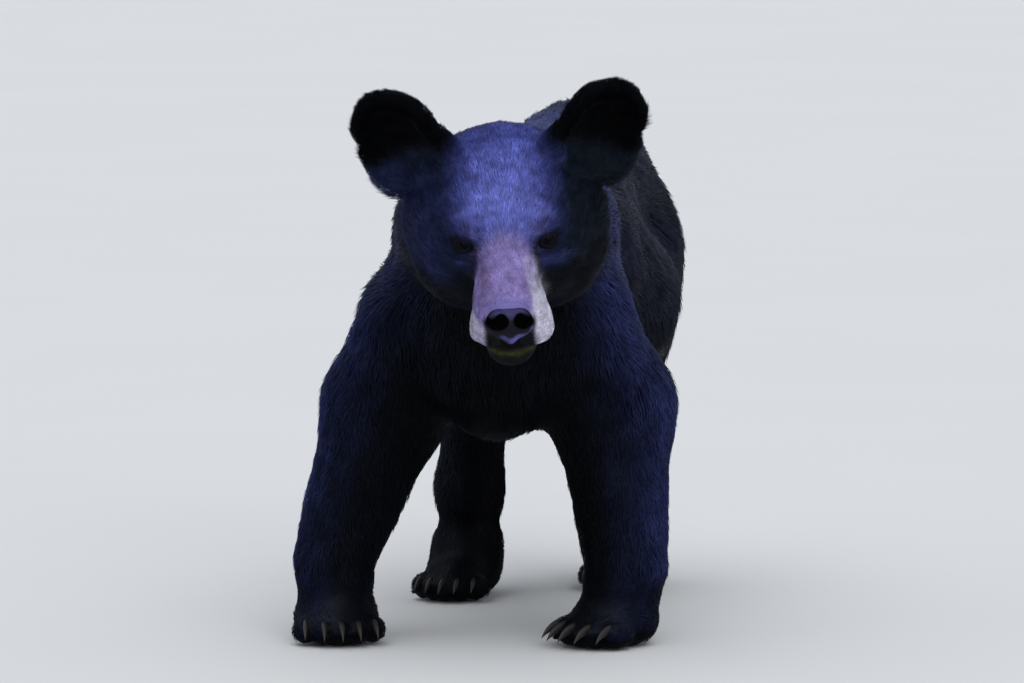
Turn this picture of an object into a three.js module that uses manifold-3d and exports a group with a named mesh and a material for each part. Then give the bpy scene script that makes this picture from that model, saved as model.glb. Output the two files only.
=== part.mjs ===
// A young adult American black bear, life size, standing on all fours with its head turned to its left.
// Millimetres, +Z up. The bear faces -Y and its left side is +X. The surfaces are those of the coat's tips.
// The flesh is one smooth field of muscle-shaped lumps. It is meshed part by part and parted by thin cuts.

import * as THREE from "three";
import { mergeVertices } from "three/addons/utils/BufferGeometryUtils.js";
import Module from "manifold-3d";

const wasm = await Module();
wasm.setup();

// ---- Driving sizes ----

const CUT = 0.5; // width of the thin cuts between sub-parts
const SLIVER = 0.15; // edges shorter than this are closed up
const NOSE_CUT = 1.5; // the nose pad's cut is curved, so its two faceted sides need more room
const WITHERS = 682; // height of the back over the shoulders
const CROUP = 700; // height of the back over the hips
const CHEST_FLOOR = 276; // height of the breastbone's underside
const BELLY_FLOOR = 290;
const CHEST_HALF_WIDTH = 150;
const BELLY_HALF_WIDTH = 176;
const CROUP_HALF_WIDTH = 112;
const SWAY = 24; // how far the forequarters lean to the bear's left
const HIP_Y = 610; // hip joints, behind the forefeet
const RUMP_Y = 800; // back of the rump
const STANCE = { left: 192, right: -202 }; // wrists, from the midline
const EYE_HEIGHT = 570;
const EYE_Y = -362;
const HEAD_SHIFT = 104; // the head's middle, towards the bear's left
const HEAD_YAW = 14; // degrees to the left
const HEAD_PITCH = 35; // degrees down, along the palate
const HEAD_ROLL = 3.8; // degrees, left side up
const EYE_SPACING = 109; // between the eyes' centres
const EYE_RADIUS = 11.5;
const EAR_LENGTH = 148;
const EAR_WIDTHS = { tip: 47, middle: 60, root: 75 }; // half widths

const RAD = Math.PI / 180;
const SIDES = [
  ["left", 1],
  ["right", -1],
];
const v3 = (x, y, z) => new THREE.Vector3(x, y, z);

// ---- Frames ----

// The head's own frame: x to the bear's left, y forward along the palate and z up, from midway between the eyes.
const headFrame = new THREE.Matrix4()
  .makeTranslation(HEAD_SHIFT, EYE_Y, EYE_HEIGHT)
  .multiply(new THREE.Matrix4().makeRotationZ(HEAD_YAW * RAD))
  .multiply(new THREE.Matrix4().makeRotationX(HEAD_PITCH * RAD))
  .multiply(new THREE.Matrix4().makeRotationY(-HEAD_ROLL * RAD))
  .multiply(new THREE.Matrix4().makeScale(1, -1, 1)); // forward is -Y outside
const headInverse = headFrame.clone().invert();

const inHead = (x, forward, up) => v3(x, forward, up).applyMatrix4(headFrame);
const headDirection = (x, forward, up) =>
  inHead(x, forward, up).sub(inHead(0, 0, 0)).normalize();

// ---- Fields: distance-like functions of a point, negative inside ----

const ellipsoid = (centre, radii) => (p) => {
  const x = p.x - centre.x;
  const y = p.y - centre.y;
  const z = p.z - centre.z;
  const near = Math.hypot(x / radii.x, y / radii.y, z / radii.z);
  const slope = Math.hypot(
    x / radii.x ** 2,
    y / radii.y ** 2,
    z / radii.z ** 2,
  );
  return slope > 0
    ? (near * (near - 1)) / slope
    : -Math.min(radii.x, radii.y, radii.z);
};

// A limb segment whose radius goes from ra at a to rb at b. Its section is wider by `flat` along Y.
const limb = (a, b, ra, rb, flat = 1) => {
  const squeeze = v3(1, 1 / flat, 1);
  const start = a.clone().multiply(squeeze);
  const along = b.clone().multiply(squeeze).sub(start);
  const reach = along.lengthSq();
  const q = v3();
  return (p) => {
    q.copy(p).multiply(squeeze).sub(start);
    const share = THREE.MathUtils.clamp(q.dot(along) / reach, 0, 1);
    return (
      q.addScaledVector(along, -share).length() -
      THREE.MathUtils.lerp(ra, rb, share)
    );
  };
};

// A field given in the frame whose inverse matrix this is.
const framed = (inverse, field) => {
  const q = v3();
  return (p) => field(q.copy(p).applyMatrix4(inverse));
};

const smoothMin = (a, b, blend) => {
  const share = Math.max(blend - Math.abs(a - b), 0) / blend;
  return Math.min(a, b) - (share * share * blend) / 4;
};

const merged = (blend, fields) => (p) => {
  let value = Infinity;
  for (const field of fields)
    value =
      value === Infinity ? field(p) : smoothMin(value, field(p), blend);
  return value;
};

const hollowed = (blend, field, tools) => (p) => {
  let value = field(p);
  for (const tool of tools) value = -smoothMin(-value, tool(p), blend);
  return value;
};

// ---- Head ----

const EAR_ROOT = { x: 97, forward: -112, up: 40 };

// The ear's frame: x across it outwards, y out of its opening, z towards its tip.
function earFrame(side) {
  const tip = headDirection(side * 0.47, 0.08, 0.88);
  const opening = headDirection(side * 0.22, 1, -0.3);
  const front = opening.clone().addScaledVector(tip, -opening.dot(tip)).normalize();
  const across = v3().crossVectors(tip, front).multiplyScalar(side);
  return new THREE.Matrix4()
    .makeBasis(across, front, tip)
    .setPosition(inHead(side * EAR_ROOT.x, EAR_ROOT.forward, EAR_ROOT.up));
}

function earField(side) {
  const { tip, middle, root } = EAR_WIDTHS;
  const shell = merged(14, [
    ellipsoid(v3(-10, 0, EAR_LENGTH - 41), v3(tip, 20, 44)),
    ellipsoid(v3(2, 0, EAR_LENGTH - 70), v3(middle, 23, 52)),
    ellipsoid(v3(8, -3, 20), v3(root, 30, 60)),
    ellipsoid(v3(54, -6, -6), v3(32, 26, 44)), // the thick hair below its outer corner
  ]);
  const bowl = merged(14, [
    ellipsoid(v3(-9, 20, EAR_LENGTH - 46), v3(tip - 13, 23, 34)),
    ellipsoid(v3(2, 21, EAR_LENGTH - 76), v3(middle - 13, 24, 42)),
    ellipsoid(v3(6, 26, 46), v3(root - 26, 27, 42)),
  ]);
  const ear = hollowed(9, shell, [bowl]);
  return framed(earFrame(side).invert(), ear);
}

const EYE_SEAT = 0; // the eyeballs' centres, forward of the head frame's origin

function headField() {
  const head = (x, forward, up, across, length, height) =>
    ellipsoid(v3(x, forward, up), v3(across, length, height));
  const both = (make) => SIDES.map(([, side]) => make(side));
  const skull = merged(30, [
    ...both((s) => head(s * 24, -108, 6, 82, 96, 62)), // braincase
    head(0, -46, 1, 63, 64, 48), // forehead
    ...both((s) => head(s * 60, -70, -36, 55, 74, 66)), // cheeks
    ...both((s) => head(s * 42, -58, -80, 44, 70, 44)), // jaw angles
    ...both((s) => head(s * 76, -106, -50, 58, 62, 70)), // ruff behind the cheeks
    ...both((s) => head(s * 62, -84, -100, 56, 58, 56)), // ruff under them
  ]);
  const muzzle = merged(18, [
    limb(v3(0, -10, -10), v3(0, 102, -50), 37, 26, 1), // bridge
    head(0, 45, -49, 43, 74, 36),
    ...both((s) => head(s * 28, 66, -70, 28, 50, 27)), // upper lips
    ...both((s) => head(s * 38, 75, -82, 18, 26, 20)), // their lower corners
    limb(v3(0, 78, -106), v3(0, -30, -106), 27, 38, 1), // lower jaw
    head(0, 66, -113, 33, 30, 24), // chin
  ]);
  const brows = both((s) => head(s * 46, -18, 20, 25, 22, 14));
  const sockets = both((s) =>
    head(s * (EYE_SPACING / 2 + 2), EYE_SEAT + 16, 0, 15, 16, 11),
  );
  const face = hollowed(
    10,
    merged(26, [skull, muzzle, ...brows]),
    sockets,
  );
  return framed(headInverse, face);
}

// ---- Body ----

function trunkField() {
  const middle = (low, high) => (low + high) / 2;
  const half = (low, high) => (high - low) / 2;
  return merged(44, [
    ellipsoid(
      v3(SWAY * 0.7, 200, middle(CHEST_FLOOR, WITHERS - 8)),
      v3(CHEST_HALF_WIDTH, 310, half(CHEST_FLOOR, WITHERS - 8)),
    ), // ribs
    ellipsoid(
      v3(SWAY * 0.4, 400, BELLY_FLOOR + 136),
      v3(BELLY_HALF_WIDTH, 265, 136),
    ), // belly
    ellipsoid(v3(SWAY * 0.4, 390, CROUP - 150), v3(112, 330, 132)), // loins
    ellipsoid(v3(SWAY, 40, WITHERS - 124), v3(74, 150, 120)), // withers
    ellipsoid(v3(0, 590, CROUP - 156), v3(CROUP_HALF_WIDTH, 205, 148)), // croup
    ellipsoid(v3(SWAY, -35, 420), v3(112, 128, 146)), // breast
    ...SIDES.map(([, s]) =>
      ellipsoid(v3(SWAY + 14 + s * 74, -50, 566), v3(76, 128, 92)),
    ), // sides of the neck
    ...SIDES.map(([, s]) =>
      ellipsoid(v3(SWAY + s * 92, 5, 470), v3(54, 112, 140)),
    ), // shoulders
    ...SIDES.map(([, s]) =>
      ellipsoid(v3(s * 74, HIP_Y + 20, 440), v3(68, 132, 150)),
    ), // haunches
  ]);
}

function neckField() {
  return merged(30, [
    limb(v3(SWAY, 10, 545), v3(78, -180, 572), 124, 108, 1),
    limb(v3(78, -180, 570), inHead(0, -112, -10), 106, 80, 1),
    limb(v3(SWAY, -60, 475), inHead(0, -95, -66), 108, 60, 1), // throat
  ]);
}

// Where each leg's joints are. The walk sets one foot of each pair a little ahead.
const FORELEGS = {
  left: {
    shoulder: v3(SWAY + 96, -15, 440),
    elbow: v3(163, 42, 318),
    wrist: v3(STANCE.left, 4, 112),
    toeIn: 31,
  },
  right: {
    shoulder: v3(SWAY - 112, -25, 432),
    elbow: v3(-140, 20, 318),
    wrist: v3(STANCE.right, -34, 112),
    toeIn: 18,
  },
};
const HINDLEGS = {
  left: {
    hip: v3(66, HIP_Y, 480),
    stifle: v3(74, 540, 372),
    hock: v3(72, 652, 150),
    toeIn: 2,
  },
  right: {
    hip: v3(-68, HIP_Y, 480),
    stifle: v3(-106, 448, 346),
    hock: v3(-130, 492, 150),
    toeIn: -4,
  },
};

function forelegField({ shoulder, elbow, wrist }) {
  return merged(34, [
    limb(shoulder, elbow, 84, 84, 1.2),
    limb(elbow, wrist, 83, 58, 1.12),
    limb(elbow, v3(elbow.x, elbow.y + 26, elbow.z + 12), 50, 40), // point of the elbow
  ]);
}

function hindlegField({ hip, stifle, hock }) {
  return merged(40, [
    limb(hip, stifle, 74, 58, 1.6),
    limb(stifle, hock, 56, 42, 1.5),
    limb(hock, v3(hock.x, hock.y - 4, 70), 42, 41, 1.25),
  ]);
}

// ---- Paws, each in its own frame: y forward along the paw, z up, from the floor under the ankle ----

const FOREPAW = {
  reach: 88, // from the ankle to the toes' row
  halfWidth: 60,
  toeRadius: 18,
  heel: 34,
  clawLength: 40,
  clawRadius: 6.2,
};
const HINDPAW = {
  reach: 118,
  halfWidth: 52,
  toeRadius: 17,
  heel: 42,
  clawLength: 30,
  clawRadius: 5.6,
};
const TOES = [-2, -1, 0, 1, 2];

function pawFrame(ankle, toeIn, side) {
  return new THREE.Matrix4()
    .makeTranslation(ankle.x, ankle.y, 0)
    .multiply(new THREE.Matrix4().makeRotationZ(-side * toeIn * RAD))
    .multiply(new THREE.Matrix4().makeScale(1, -1, 1));
}

// The middle of a toe: the row curves back towards the little toes.
function toePlace(paw, toe) {
  const across = (toe / 2) * (paw.halfWidth - paw.toeRadius * 0.8);
  return v3(across, paw.reach - 5.5 * toe * toe, paw.toeRadius + 2);
}

function pawField(paw, frame) {
  const sole = ellipsoid(
    v3(0, (paw.reach - paw.heel) / 2, 30),
    v3(paw.halfWidth - 2, (paw.reach + paw.heel) / 2 + 4, 38),
  );
  const instep = ellipsoid(v3(0, 12, 62), v3(47, 52, 44));
  const toes = TOES.map((toe) => {
    const at = toePlace(paw, toe);
    return ellipsoid(at, v3(paw.toeRadius, paw.toeRadius * 1.5, 20));
  });
  const foot = merged(9, [merged(24, [sole, instep]), ...toes]);
  return framed(frame.clone().invert(), foot);
}

function tailField() {
  return limb(v3(0, RUMP_Y - 36, 588), v3(-5, RUMP_Y + 4, 498), 33, 21);
}

const LEGS = SIDES.flatMap(([name, side]) => {
  const fore = FORELEGS[name];
  const hind = HINDLEGS[name];
  return [
    {
      name: `fore_${name}`,
      side,
      paw: FOREPAW,
      frame: pawFrame(fore.wrist, fore.toeIn, side),
      field: forelegField(fore),
      pawTop: 88,
      top: v3(side * 158, 0, 385),
      from: -220,
      to: 172,
    },
    {
      name: `hind_${name}`,
      side,
      paw: HINDPAW,
      frame: pawFrame(hind.hock, hind.toeIn, side),
      field: hindlegField(hind),
      pawTop: 100,
      top: v3(side * 128, 0, 392),
      from: 390,
      to: 900,
    },
  ];
});

const body = merged(46, [
  trunkField(),
  neckField(),
  ...LEGS.map((leg) => leg.field),
]);
const flesh = merged(12, [
  merged(26, [
    merged(44, [body, headField()]),
    tailField(),
    ...LEGS.map((leg) => pawField(leg.paw, leg.frame)),
  ]),
  ...SIDES.map(([, side]) => earField(side)),
]);

// ---- From fields to meshes ----

const RELAX_ROUNDS = 3;

// Surface nets: one vertex in each cell that the surface crosses, then evened out and moved onto the surface itself.
function polygonise(field, box, cell) {
  const size = box.getSize(v3());
  const [nx, ny, nz] = [size.x, size.y, size.z].map(
    (length) => Math.ceil(length / cell) + 3,
  );
  const start = box.min.clone().addScalar(-1.5 * cell + 1e-3 * cell);
  const at = (i, j, k) => i + nx * (j + ny * k);
  const inBox = (p) =>
    Math.max(
      box.min.x - p.x,
      p.x - box.max.x,
      box.min.y - p.y,
      p.y - box.max.y,
      box.min.z - p.z,
      p.z - box.max.z,
    );
  const value = (p) => Math.max(field(p), inBox(p));
  const p = v3();
  const values = new Float32Array(nx * ny * nz);
  for (let k = 0; k < nz; k++)
    for (let j = 0; j < ny; j++)
      for (let i = 0; i < nx; i++) {
        p.set(i, j, k).multiplyScalar(cell).add(start);
        values[at(i, j, k)] = value(p);
      }
  const positions = [];
  const vertexOf = new Map();
  const corners = [0, 1, 2, 3, 4, 5, 6, 7].map((c) => [
    c & 1,
    (c >> 1) & 1,
    c >> 2,
  ]);
  for (let k = 0; k < nz - 1; k++)
    for (let j = 0; j < ny - 1; j++)
      for (let i = 0; i < nx - 1; i++) {
        const here = corners.map(
          ([a, b, c]) => values[at(i + a, j + b, k + c)],
        );
        const mean = v3();
        let crossings = 0;
        corners.forEach((one, m) =>
          corners.forEach((two, n) => {
            const steps =
              two[0] - one[0] + 2 * (two[1] - one[1]) + 4 * (two[2] - one[2]);
            const isEdge = n > m && (m ^ n) === steps && (steps & (steps - 1)) === 0;
            if (!isEdge || here[m] < 0 === here[n] < 0) return;
            const share = here[m] / (here[m] - here[n]);
            mean.x += one[0] + share * (two[0] - one[0]);
            mean.y += one[1] + share * (two[1] - one[1]);
            mean.z += one[2] + share * (two[2] - one[2]);
            crossings++;
          }),
        );
        if (!crossings) continue;
        mean.divideScalar(crossings).add(v3(i, j, k));
        mean.multiplyScalar(cell).add(start);
        vertexOf.set(at(i, j, k), positions.length / 3);
        positions.push(...mean.toArray());
      }
  const index = [];
  const strides = [1, nx, nx * ny];
  for (let k = 1; k < nz - 1; k++)
    for (let j = 1; j < ny - 1; j++)
      for (let i = 1; i < nx - 1; i++)
        for (let axis = 0; axis < 3; axis++) {
          const n = at(i, j, k);
          const inside = values[n] < 0;
          if (inside === values[n + strides[axis]] < 0) continue;
          const u = strides[(axis + 1) % 3];
          const w = strides[(axis + 2) % 3];
          const loop = [n - u - w, n - w, n, n - u].map((c) => vertexOf.get(c));
          if (!inside) loop.reverse();
          const [a, b, c, d] = loop.map((m) => v3().fromArray(positions, 3 * m));
          const [q, r, s, t] = loop;
          if (a.distanceToSquared(c) < b.distanceToSquared(d))
            index.push(q, r, s, q, s, t);
          else index.push(q, r, t, r, s, t);
        }
  const slope = v3();
  const ontoSurface = (n) => {
    p.fromArray(positions, n);
    for (let round = 0; round < 3; round++) {
      const here = value(p);
      const step = 0.05 * cell;
      ["x", "y", "z"].forEach((axis) => {
        p[axis] += step;
        slope[axis] = (value(p) - here) / step;
        p[axis] -= step;
      });
      const move = THREE.MathUtils.clamp(
        -here / Math.max(slope.lengthSq(), 0.2),
        -0.3 * cell,
        0.3 * cell,
      );
      p.addScaledVector(slope, move);
    }
    p.toArray(positions, n);
  };
  // Even the vertices out, each towards the middle of its neighbours, and bring them back.
  for (let round = 0; round < RELAX_ROUNDS; round++) {
    const sums = new Float64Array(positions.length);
    const counts = new Float64Array(positions.length / 3);
    for (let n = 0; n < index.length; n++) {
      const from = index[n];
      const to = index[n % 3 === 2 ? n - 2 : n + 1];
      counts[from]++;
      for (let axis = 0; axis < 3; axis++) sums[3 * from + axis] += positions[3 * to + axis];
    }
    for (let n = 0; n < positions.length; n++)
      positions[n] += 0.5 * (sums[n] / counts[Math.floor(n / 3)] - positions[n]);
    for (let n = 0; n < positions.length; n += 3) ontoSurface(n);
  }
  return new THREE.BufferGeometry()
    .setAttribute("position", new THREE.Float32BufferAttribute(positions, 3))
    .setIndex(index);
}

// ---- Solids ----

function solidOf(geometry) {
  const bare = geometry.clone();
  bare.deleteAttribute("normal");
  bare.deleteAttribute("uv");
  const closed = mergeVertices(bare, 1e-4);
  return new wasm.Manifold(
    new wasm.Mesh({
      numProp: 3,
      vertProperties: new Float32Array(closed.attributes.position.array),
      triVerts: new Uint32Array(closed.index.array),
    }),
  );
}

// The edges between the faces that pass the test, given how long each is and how many faces share it.
function edgesWhere(faces, test, positions) {
  const shared = new Map();
  for (const face of faces) {
    face.forEach((from, n) => {
      const ends = [from, face[(n + 1) % 3]].sort((a, b) => a - b);
      const key = ends.join();
      shared.set(key, { ends, count: (shared.get(key)?.count ?? 0) + 1 });
    });
  }
  const long = ([m, n]) =>
    Math.hypot(...[0, 1, 2].map((axis) => positions[3 * m + axis] - positions[3 * n + axis]));
  return [...shared.values()].filter(({ ends, count }) => test(long(ends), count)).map(({ ends }) => ends);
}

// The solid as a geometry, without what cutting leaves: an edge too short to see is closed up, and so is a pinch, an edge that four faces share.
function geometryOf(solid) {
  const mesh = solid.getMesh();
  const positions = mesh.vertProperties;
  const stands = Array.from({ length: positions.length / 3 }, (_, n) => n);
  const standFor = (n) => {
    while (stands[n] !== n) n = stands[n];
    return n;
  };
  const places = new Map();
  stands.forEach((n) => {
    const place = [0, 1, 2].map((axis) => Math.fround(positions[3 * n + axis])).join();
    if (places.has(place)) stands[n] = places.get(place);
    else places.set(place, n);
  });
  // Two faces on the same three corners are a flap with nothing inside it, so both go.
  const facesLeft = () => {
    const faces = new Map();
    for (let n = 0; n < mesh.triVerts.length; n += 3) {
      const face = [...mesh.triVerts.slice(n, n + 3)].map(standFor);
      if (new Set(face).size < 3) continue;
      const key = [...face].sort((a, b) => a - b).join();
      if (!faces.delete(key)) faces.set(key, face);
    }
    return [...faces.values()];
  };
  let faces = facesLeft();
  for (let round = 0; round < 12; round += 1) {
    const closed = edgesWhere(faces, (long, count) => long < SLIVER || count > 2, positions);
    if (!closed.length) break;
    for (const [gone, kept] of closed) stands[standFor(gone)] = standFor(kept);
    faces = facesLeft();
  }
  return new THREE.BufferGeometry()
    .setAttribute("position", new THREE.BufferAttribute(positions, 3))
    .setIndex(faces.flat());
}

// What lies on the side of the plane that its normal points to, less half a cut.
const beyond = (solid, point, normal) =>
  solid.trimByPlane(normal.toArray(), point.dot(normal) + CUT / 2);

// Both sides of a plane.
const parted = (solid, point, normal) => [
  beyond(solid, point, normal),
  beyond(solid, point, normal.clone().negate()),
];

const largest = (solid) =>
  solid.decompose().sort((a, b) => b.volume() - a.volume())[0];

const boxAround = (points, margin) =>
  new THREE.Box3().setFromPoints(points).expandByScalar(margin);

// The ground below a leg's top: a block whose upper face slopes up and outwards.
const LEG_SLOPE = 34;
function legBlock(leg, grow) {
  const [width, height] = [900, 900];
  return new THREE.BoxGeometry(
    width,
    leg.to - leg.from + 2 * grow,
    height,
  )
    .translate(0, (leg.to + leg.from) / 2, -height / 2 + grow)
    .applyMatrix4(
      new THREE.Matrix4()
        .makeTranslation(leg.top.x, 0, leg.top.z)
        .multiply(
          new THREE.Matrix4().makeRotationY(-leg.side * LEG_SLOPE * RAD),
        ),
    );
}

// ---- The sub-parts ----

const coat = new THREE.MeshStandardMaterial({ color: 0x14141a, roughness: 0.5 });
const muzzleCoat = new THREE.MeshStandardMaterial({ color: 0x8a7360, roughness: 0.6 });
const leather = new THREE.MeshStandardMaterial({ color: 0x1b191b, roughness: 0.4 });
const eyeGlass = new THREE.MeshStandardMaterial({ color: 0x170d08, roughness: 0.08 });
const horn = new THREE.MeshStandardMaterial({ color: 0x2b2622, roughness: 0.35 });

const bear = new THREE.Group();
function place(name, solid, material) {
  const mesh = new THREE.Mesh(geometryOf(solid), material);
  mesh.name = name;
  bear.add(mesh);
}

const CELLS = { head: 22.5, ear: 17.2, nose: 9.2, neck: 48, trunk: 58, leg: 40, paw: 25, tail: 26 };

// A geometry moved into a frame. A mirrored frame turns its faces round, so they are turned back.
function inFrame(geometry, frame) {
  if (frame.determinant() < 0) geometry.index.array.reverse();
  return geometry.applyMatrix4(frame);
}

function meshed(what, field, box, cell) {
  const solid = solidOf(polygonise(field, box, cell));
  if (solid.isEmpty()) throw new Error(`${what}: the mesh isn't closed, or it is empty`);
  return solid;
}

// A box from one corner to the other in a frame, grown on all its sides.
function blockIn(frame, from, to, grow) {
  const box = new THREE.Box3(v3(...from), v3(...to)).expandByScalar(grow);
  const size = box.getSize(v3());
  const middle = box.getCenter(v3());
  const block = new THREE.BoxGeometry(size.x, size.y, size.z).translate(...middle.toArray());
  return solidOf(inFrame(block, frame));
}

// ---- Trunk, neck and head, parted across ----

const NECK_CUT = { at: v3(18, -92, 560), normal: v3(-0.2, 1, -0.45).normalize() };
const HEAD_CUT = { at: inHead(0, -152, 0), normal: headDirection(0, 1, 0.3) };
// The tail's frame: z from its root towards its tip.
const tailFrame = new THREE.Matrix4()
  .makeRotationX(-146 * RAD)
  .setPosition(0, RUMP_Y - 36, 588);

const headBox = new THREE.Box3(v3(-130, -580, 330), v3(300, -90, 900));
const neckBox = new THREE.Box3(v3(-260, -330, 300), v3(320, 10, 800));
const trunkBox = new THREE.Box3(v3(-300, -240, 260), v3(300, 900, 800));
const tailBox = new THREE.Box3(v3(-90, RUMP_Y - 80, 450), v3(90, RUMP_Y + 110, 680));

const legBlocks = LEGS.map((leg) => solidOf(legBlock(leg, 0)));
const grownLegBlocks = LEGS.map((leg) => solidOf(legBlock(leg, CUT)));

// Trunk.
const tailBlock = (grow) => blockIn(tailFrame, [-50, -80, 34], [50, 24, 220], grow);
const lessLegs = (solid) =>
  largest(grownLegBlocks.reduce((rest, block) => rest.subtract(block), solid));
const trunk = meshed("trunk", flesh, trunkBox, CELLS.trunk).subtract(tailBlock(CUT));
place("trunk", lessLegs(beyond(trunk, NECK_CUT.at, NECK_CUT.normal)), coat);

// Tail.
const tail = meshed("tail", flesh, tailBox, CELLS.tail).intersect(tailBlock(0));
place("tail", largest(tail), coat);

// Neck.
const beforeTrunk = beyond(
  meshed("neck", flesh, neckBox, CELLS.neck),
  NECK_CUT.at,
  NECK_CUT.normal.clone().negate(),
);
const neck = beyond(beforeTrunk, HEAD_CUT.at, HEAD_CUT.normal.clone().negate());
place("neck", lessLegs(neck), coat);

// ---- Head ----

const NOSE = { forward: 112, up: -43, halfWidth: 28, length: 24, halfHeight: 23 };

// The nose pad in the head's frame, with its two nostrils.
const noseField = hollowed(
  4,
  merged(6, [
    ellipsoid(
      v3(0, NOSE.forward, NOSE.up),
      v3(NOSE.halfWidth, NOSE.length, NOSE.halfHeight),
    ),
    ...SIDES.map(([, s]) =>
      ellipsoid(v3(s * 17, NOSE.forward + 4, NOSE.up), v3(14, 19, 15)),
    ),
    limb(v3(0, NOSE.forward + 14, NOSE.up - 12), v3(0, NOSE.forward + 6, NOSE.up - 26), 12, 9),
  ]),
  SIDES.map(([, s]) =>
    limb(v3(s * 14, NOSE.forward + 36, NOSE.up + 18), v3(s * 14, NOSE.forward + 4, NOSE.up + 4), 7, 5),
  ),
);
const noseBox = new THREE.Box3(v3(-60, 60, -110), v3(60, 170, 10));
const inHeadFrame = (field, grow) => {
  const solid = solidOf(polygonise((p) => field(p) - grow, noseBox, CELLS.nose));
  return solid.transform(headFrame.toArray());
};
const nose = inHeadFrame(noseField, 0);

const earBlock = (side, grow) =>
  blockIn(earFrame(side), [-100, -60, 22], [100, 60, 190], grow);
const ears = SIDES.map(([, side]) => {
  const root = inHead(side * EAR_ROOT.x, EAR_ROOT.forward, EAR_ROOT.up);
  const tip = v3(0, 0, EAR_LENGTH).applyMatrix4(earFrame(side));
  const solid = meshed("ear", flesh, boxAround([root, tip], 92), CELLS.ear);
  return largest(solid.intersect(earBlock(side, 0)));
});

const MOUTH = { corner: 24, height: -94, slope: 3 };
const mouthFrame = headFrame
  .clone()
  .multiply(new THREE.Matrix4().makeTranslation(0, MOUTH.corner, MOUTH.height))
  .multiply(new THREE.Matrix4().makeRotationX(MOUTH.slope * RAD));
const jawBlock = (grow) => blockIn(mouthFrame, [-90, 0, -90], [90, 190, 0], grow);

const eyeBall = (side, grow) =>
  solidOf(
    inFrame(
      new THREE.SphereGeometry(EYE_RADIUS + grow, 12, 7)
        .rotateX(Math.PI / 2)
        .translate((side * EYE_SPACING) / 2, EYE_SEAT, 0),
      headFrame,
    ),
  );

const beforeNeck = beyond(
  beyond(meshed("head", flesh, headBox, CELLS.head), HEAD_CUT.at, HEAD_CUT.normal),
  NECK_CUT.at,
  NECK_CUT.normal.clone().negate(),
);
const wholeHead = largest(
  SIDES.reduce((solid, [, side]) => solid.subtract(earBlock(side, CUT)), beforeNeck),
);
const noNose = wholeHead.subtract(inHeadFrame(noseField, NOSE_CUT));
const jaw = largest(noNose.intersect(jawBlock(0)));
const face = SIDES.reduce(
  (solid, [, side]) => solid.subtract(eyeBall(side, CUT)),
  noNose.subtract(jawBlock(CUT)),
);
place("head", largest(face), coat);
place("lower_jaw", jaw, muzzleCoat);
place("nose", nose, leather);
SIDES.forEach(([name, side], n) => {
  place(`ear_${name}`, ears[n], coat);
  place(`eye_${name}`, eyeBall(side, 0), eyeGlass);
});

// ---- Legs, paws and claws ----

// Claws are cones bent down over an arc, from the toe's front.
function clawGeometry(paw, grow) {
  const radius = paw.clawRadius + grow;
  const length = paw.clawLength + 2 * grow;
  const bend = 0.9; // radians from root to tip
  const cone = new THREE.ConeGeometry(radius, length, 6, 3).translate(0, length / 2, 0);
  const place = cone.attributes.position;
  const arc = length / bend;
  for (let n = 0; n < place.count; n++) {
    const turn = (bend * place.getY(n)) / length;
    const out = arc + place.getZ(n) * 1.25;
    place.setXYZ(n, place.getX(n) * 0.8, Math.sin(turn) * out - grow, Math.cos(turn) * out - arc);
  }
  return cone;
}

const clawAt = (leg, toe, grow) => {
  const root = toePlace(leg.paw, toe).add(v3(0, leg.paw.toeRadius * 0.8, 9));
  const claw = clawGeometry(leg.paw, grow).rotateZ(-0.05 * toe).translate(...root.toArray());
  return solidOf(inFrame(claw, leg.frame));
};

LEGS.forEach((leg, n) => {
  const ankle = v3().setFromMatrixPosition(leg.frame);
  const inner = v3(leg.side * 12, 0, 0);
  const outwards = v3(leg.side, 0, 0);
  const legBox = boxAround([ankle, leg.top, v3(leg.top.x, (leg.from + leg.to) / 2, leg.top.z)], 190);
  legBox.min.z = 30;
  const legSolid = meshed(leg.name, flesh, legBox, CELLS.leg).intersect(legBlocks[n]);
  const ownSide = beyond(legSolid, inner, outwards);
  place(leg.name, largest(beyond(ownSide, v3(0, 0, leg.pawTop), v3(0, 0, 1))), coat);

  const pawBox = boxAround([ankle], 190);
  pawBox.min.z = -40;
  pawBox.max.z = leg.pawTop + 30;
  const sides = beyond(meshed("paw", flesh, pawBox, CELLS.paw), inner, outwards);
  const below = beyond(sides, v3(0, 0, leg.pawTop), v3(0, 0, -1));
  const onFloor = below.trimByPlane([0, 0, 1], 0);
  const paw = TOES.reduce((solid, toe) => solid.subtract(clawAt(leg, toe, CUT)), onFloor);
  place(leg.name.replace("fore_", "forepaw_").replace("hind_", "hindpaw_"), largest(paw), coat);
  TOES.forEach((toe, m) => {
    place(`claw_${leg.name}_${m + 1}`, clawAt(leg, toe, 0), horn);
  });
});

// The origin: on the floor, under the middle of the bear's box.
const extent = new THREE.Box3().setFromObject(bear);
const centre = extent.getCenter(v3());
for (const mesh of bear.children) mesh.geometry.translate(-centre.x, -centre.y, -extent.min.z);

export default bear;
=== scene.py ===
"""A young adult American black bear, standing and watching, as a life-size museum model.

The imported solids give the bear's size, stance and outline, out to the tips of its coat.
One skin lies inside them by the coat's depth. It carries the folds of the face and the feet.
The coat is laid over the skin in thin closed locks that follow the lie of the hair.
Eyes, nose pad and claws are pieces of their own.
Shapes are worked out in millimetres in the maker's frame, as the solids were, and set in metres.
"""

import sys
import logging
import math
from dataclasses import dataclass, field
from enum import Enum
from typing import Any, Callable, Iterable, Optional, Sequence, Union

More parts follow.
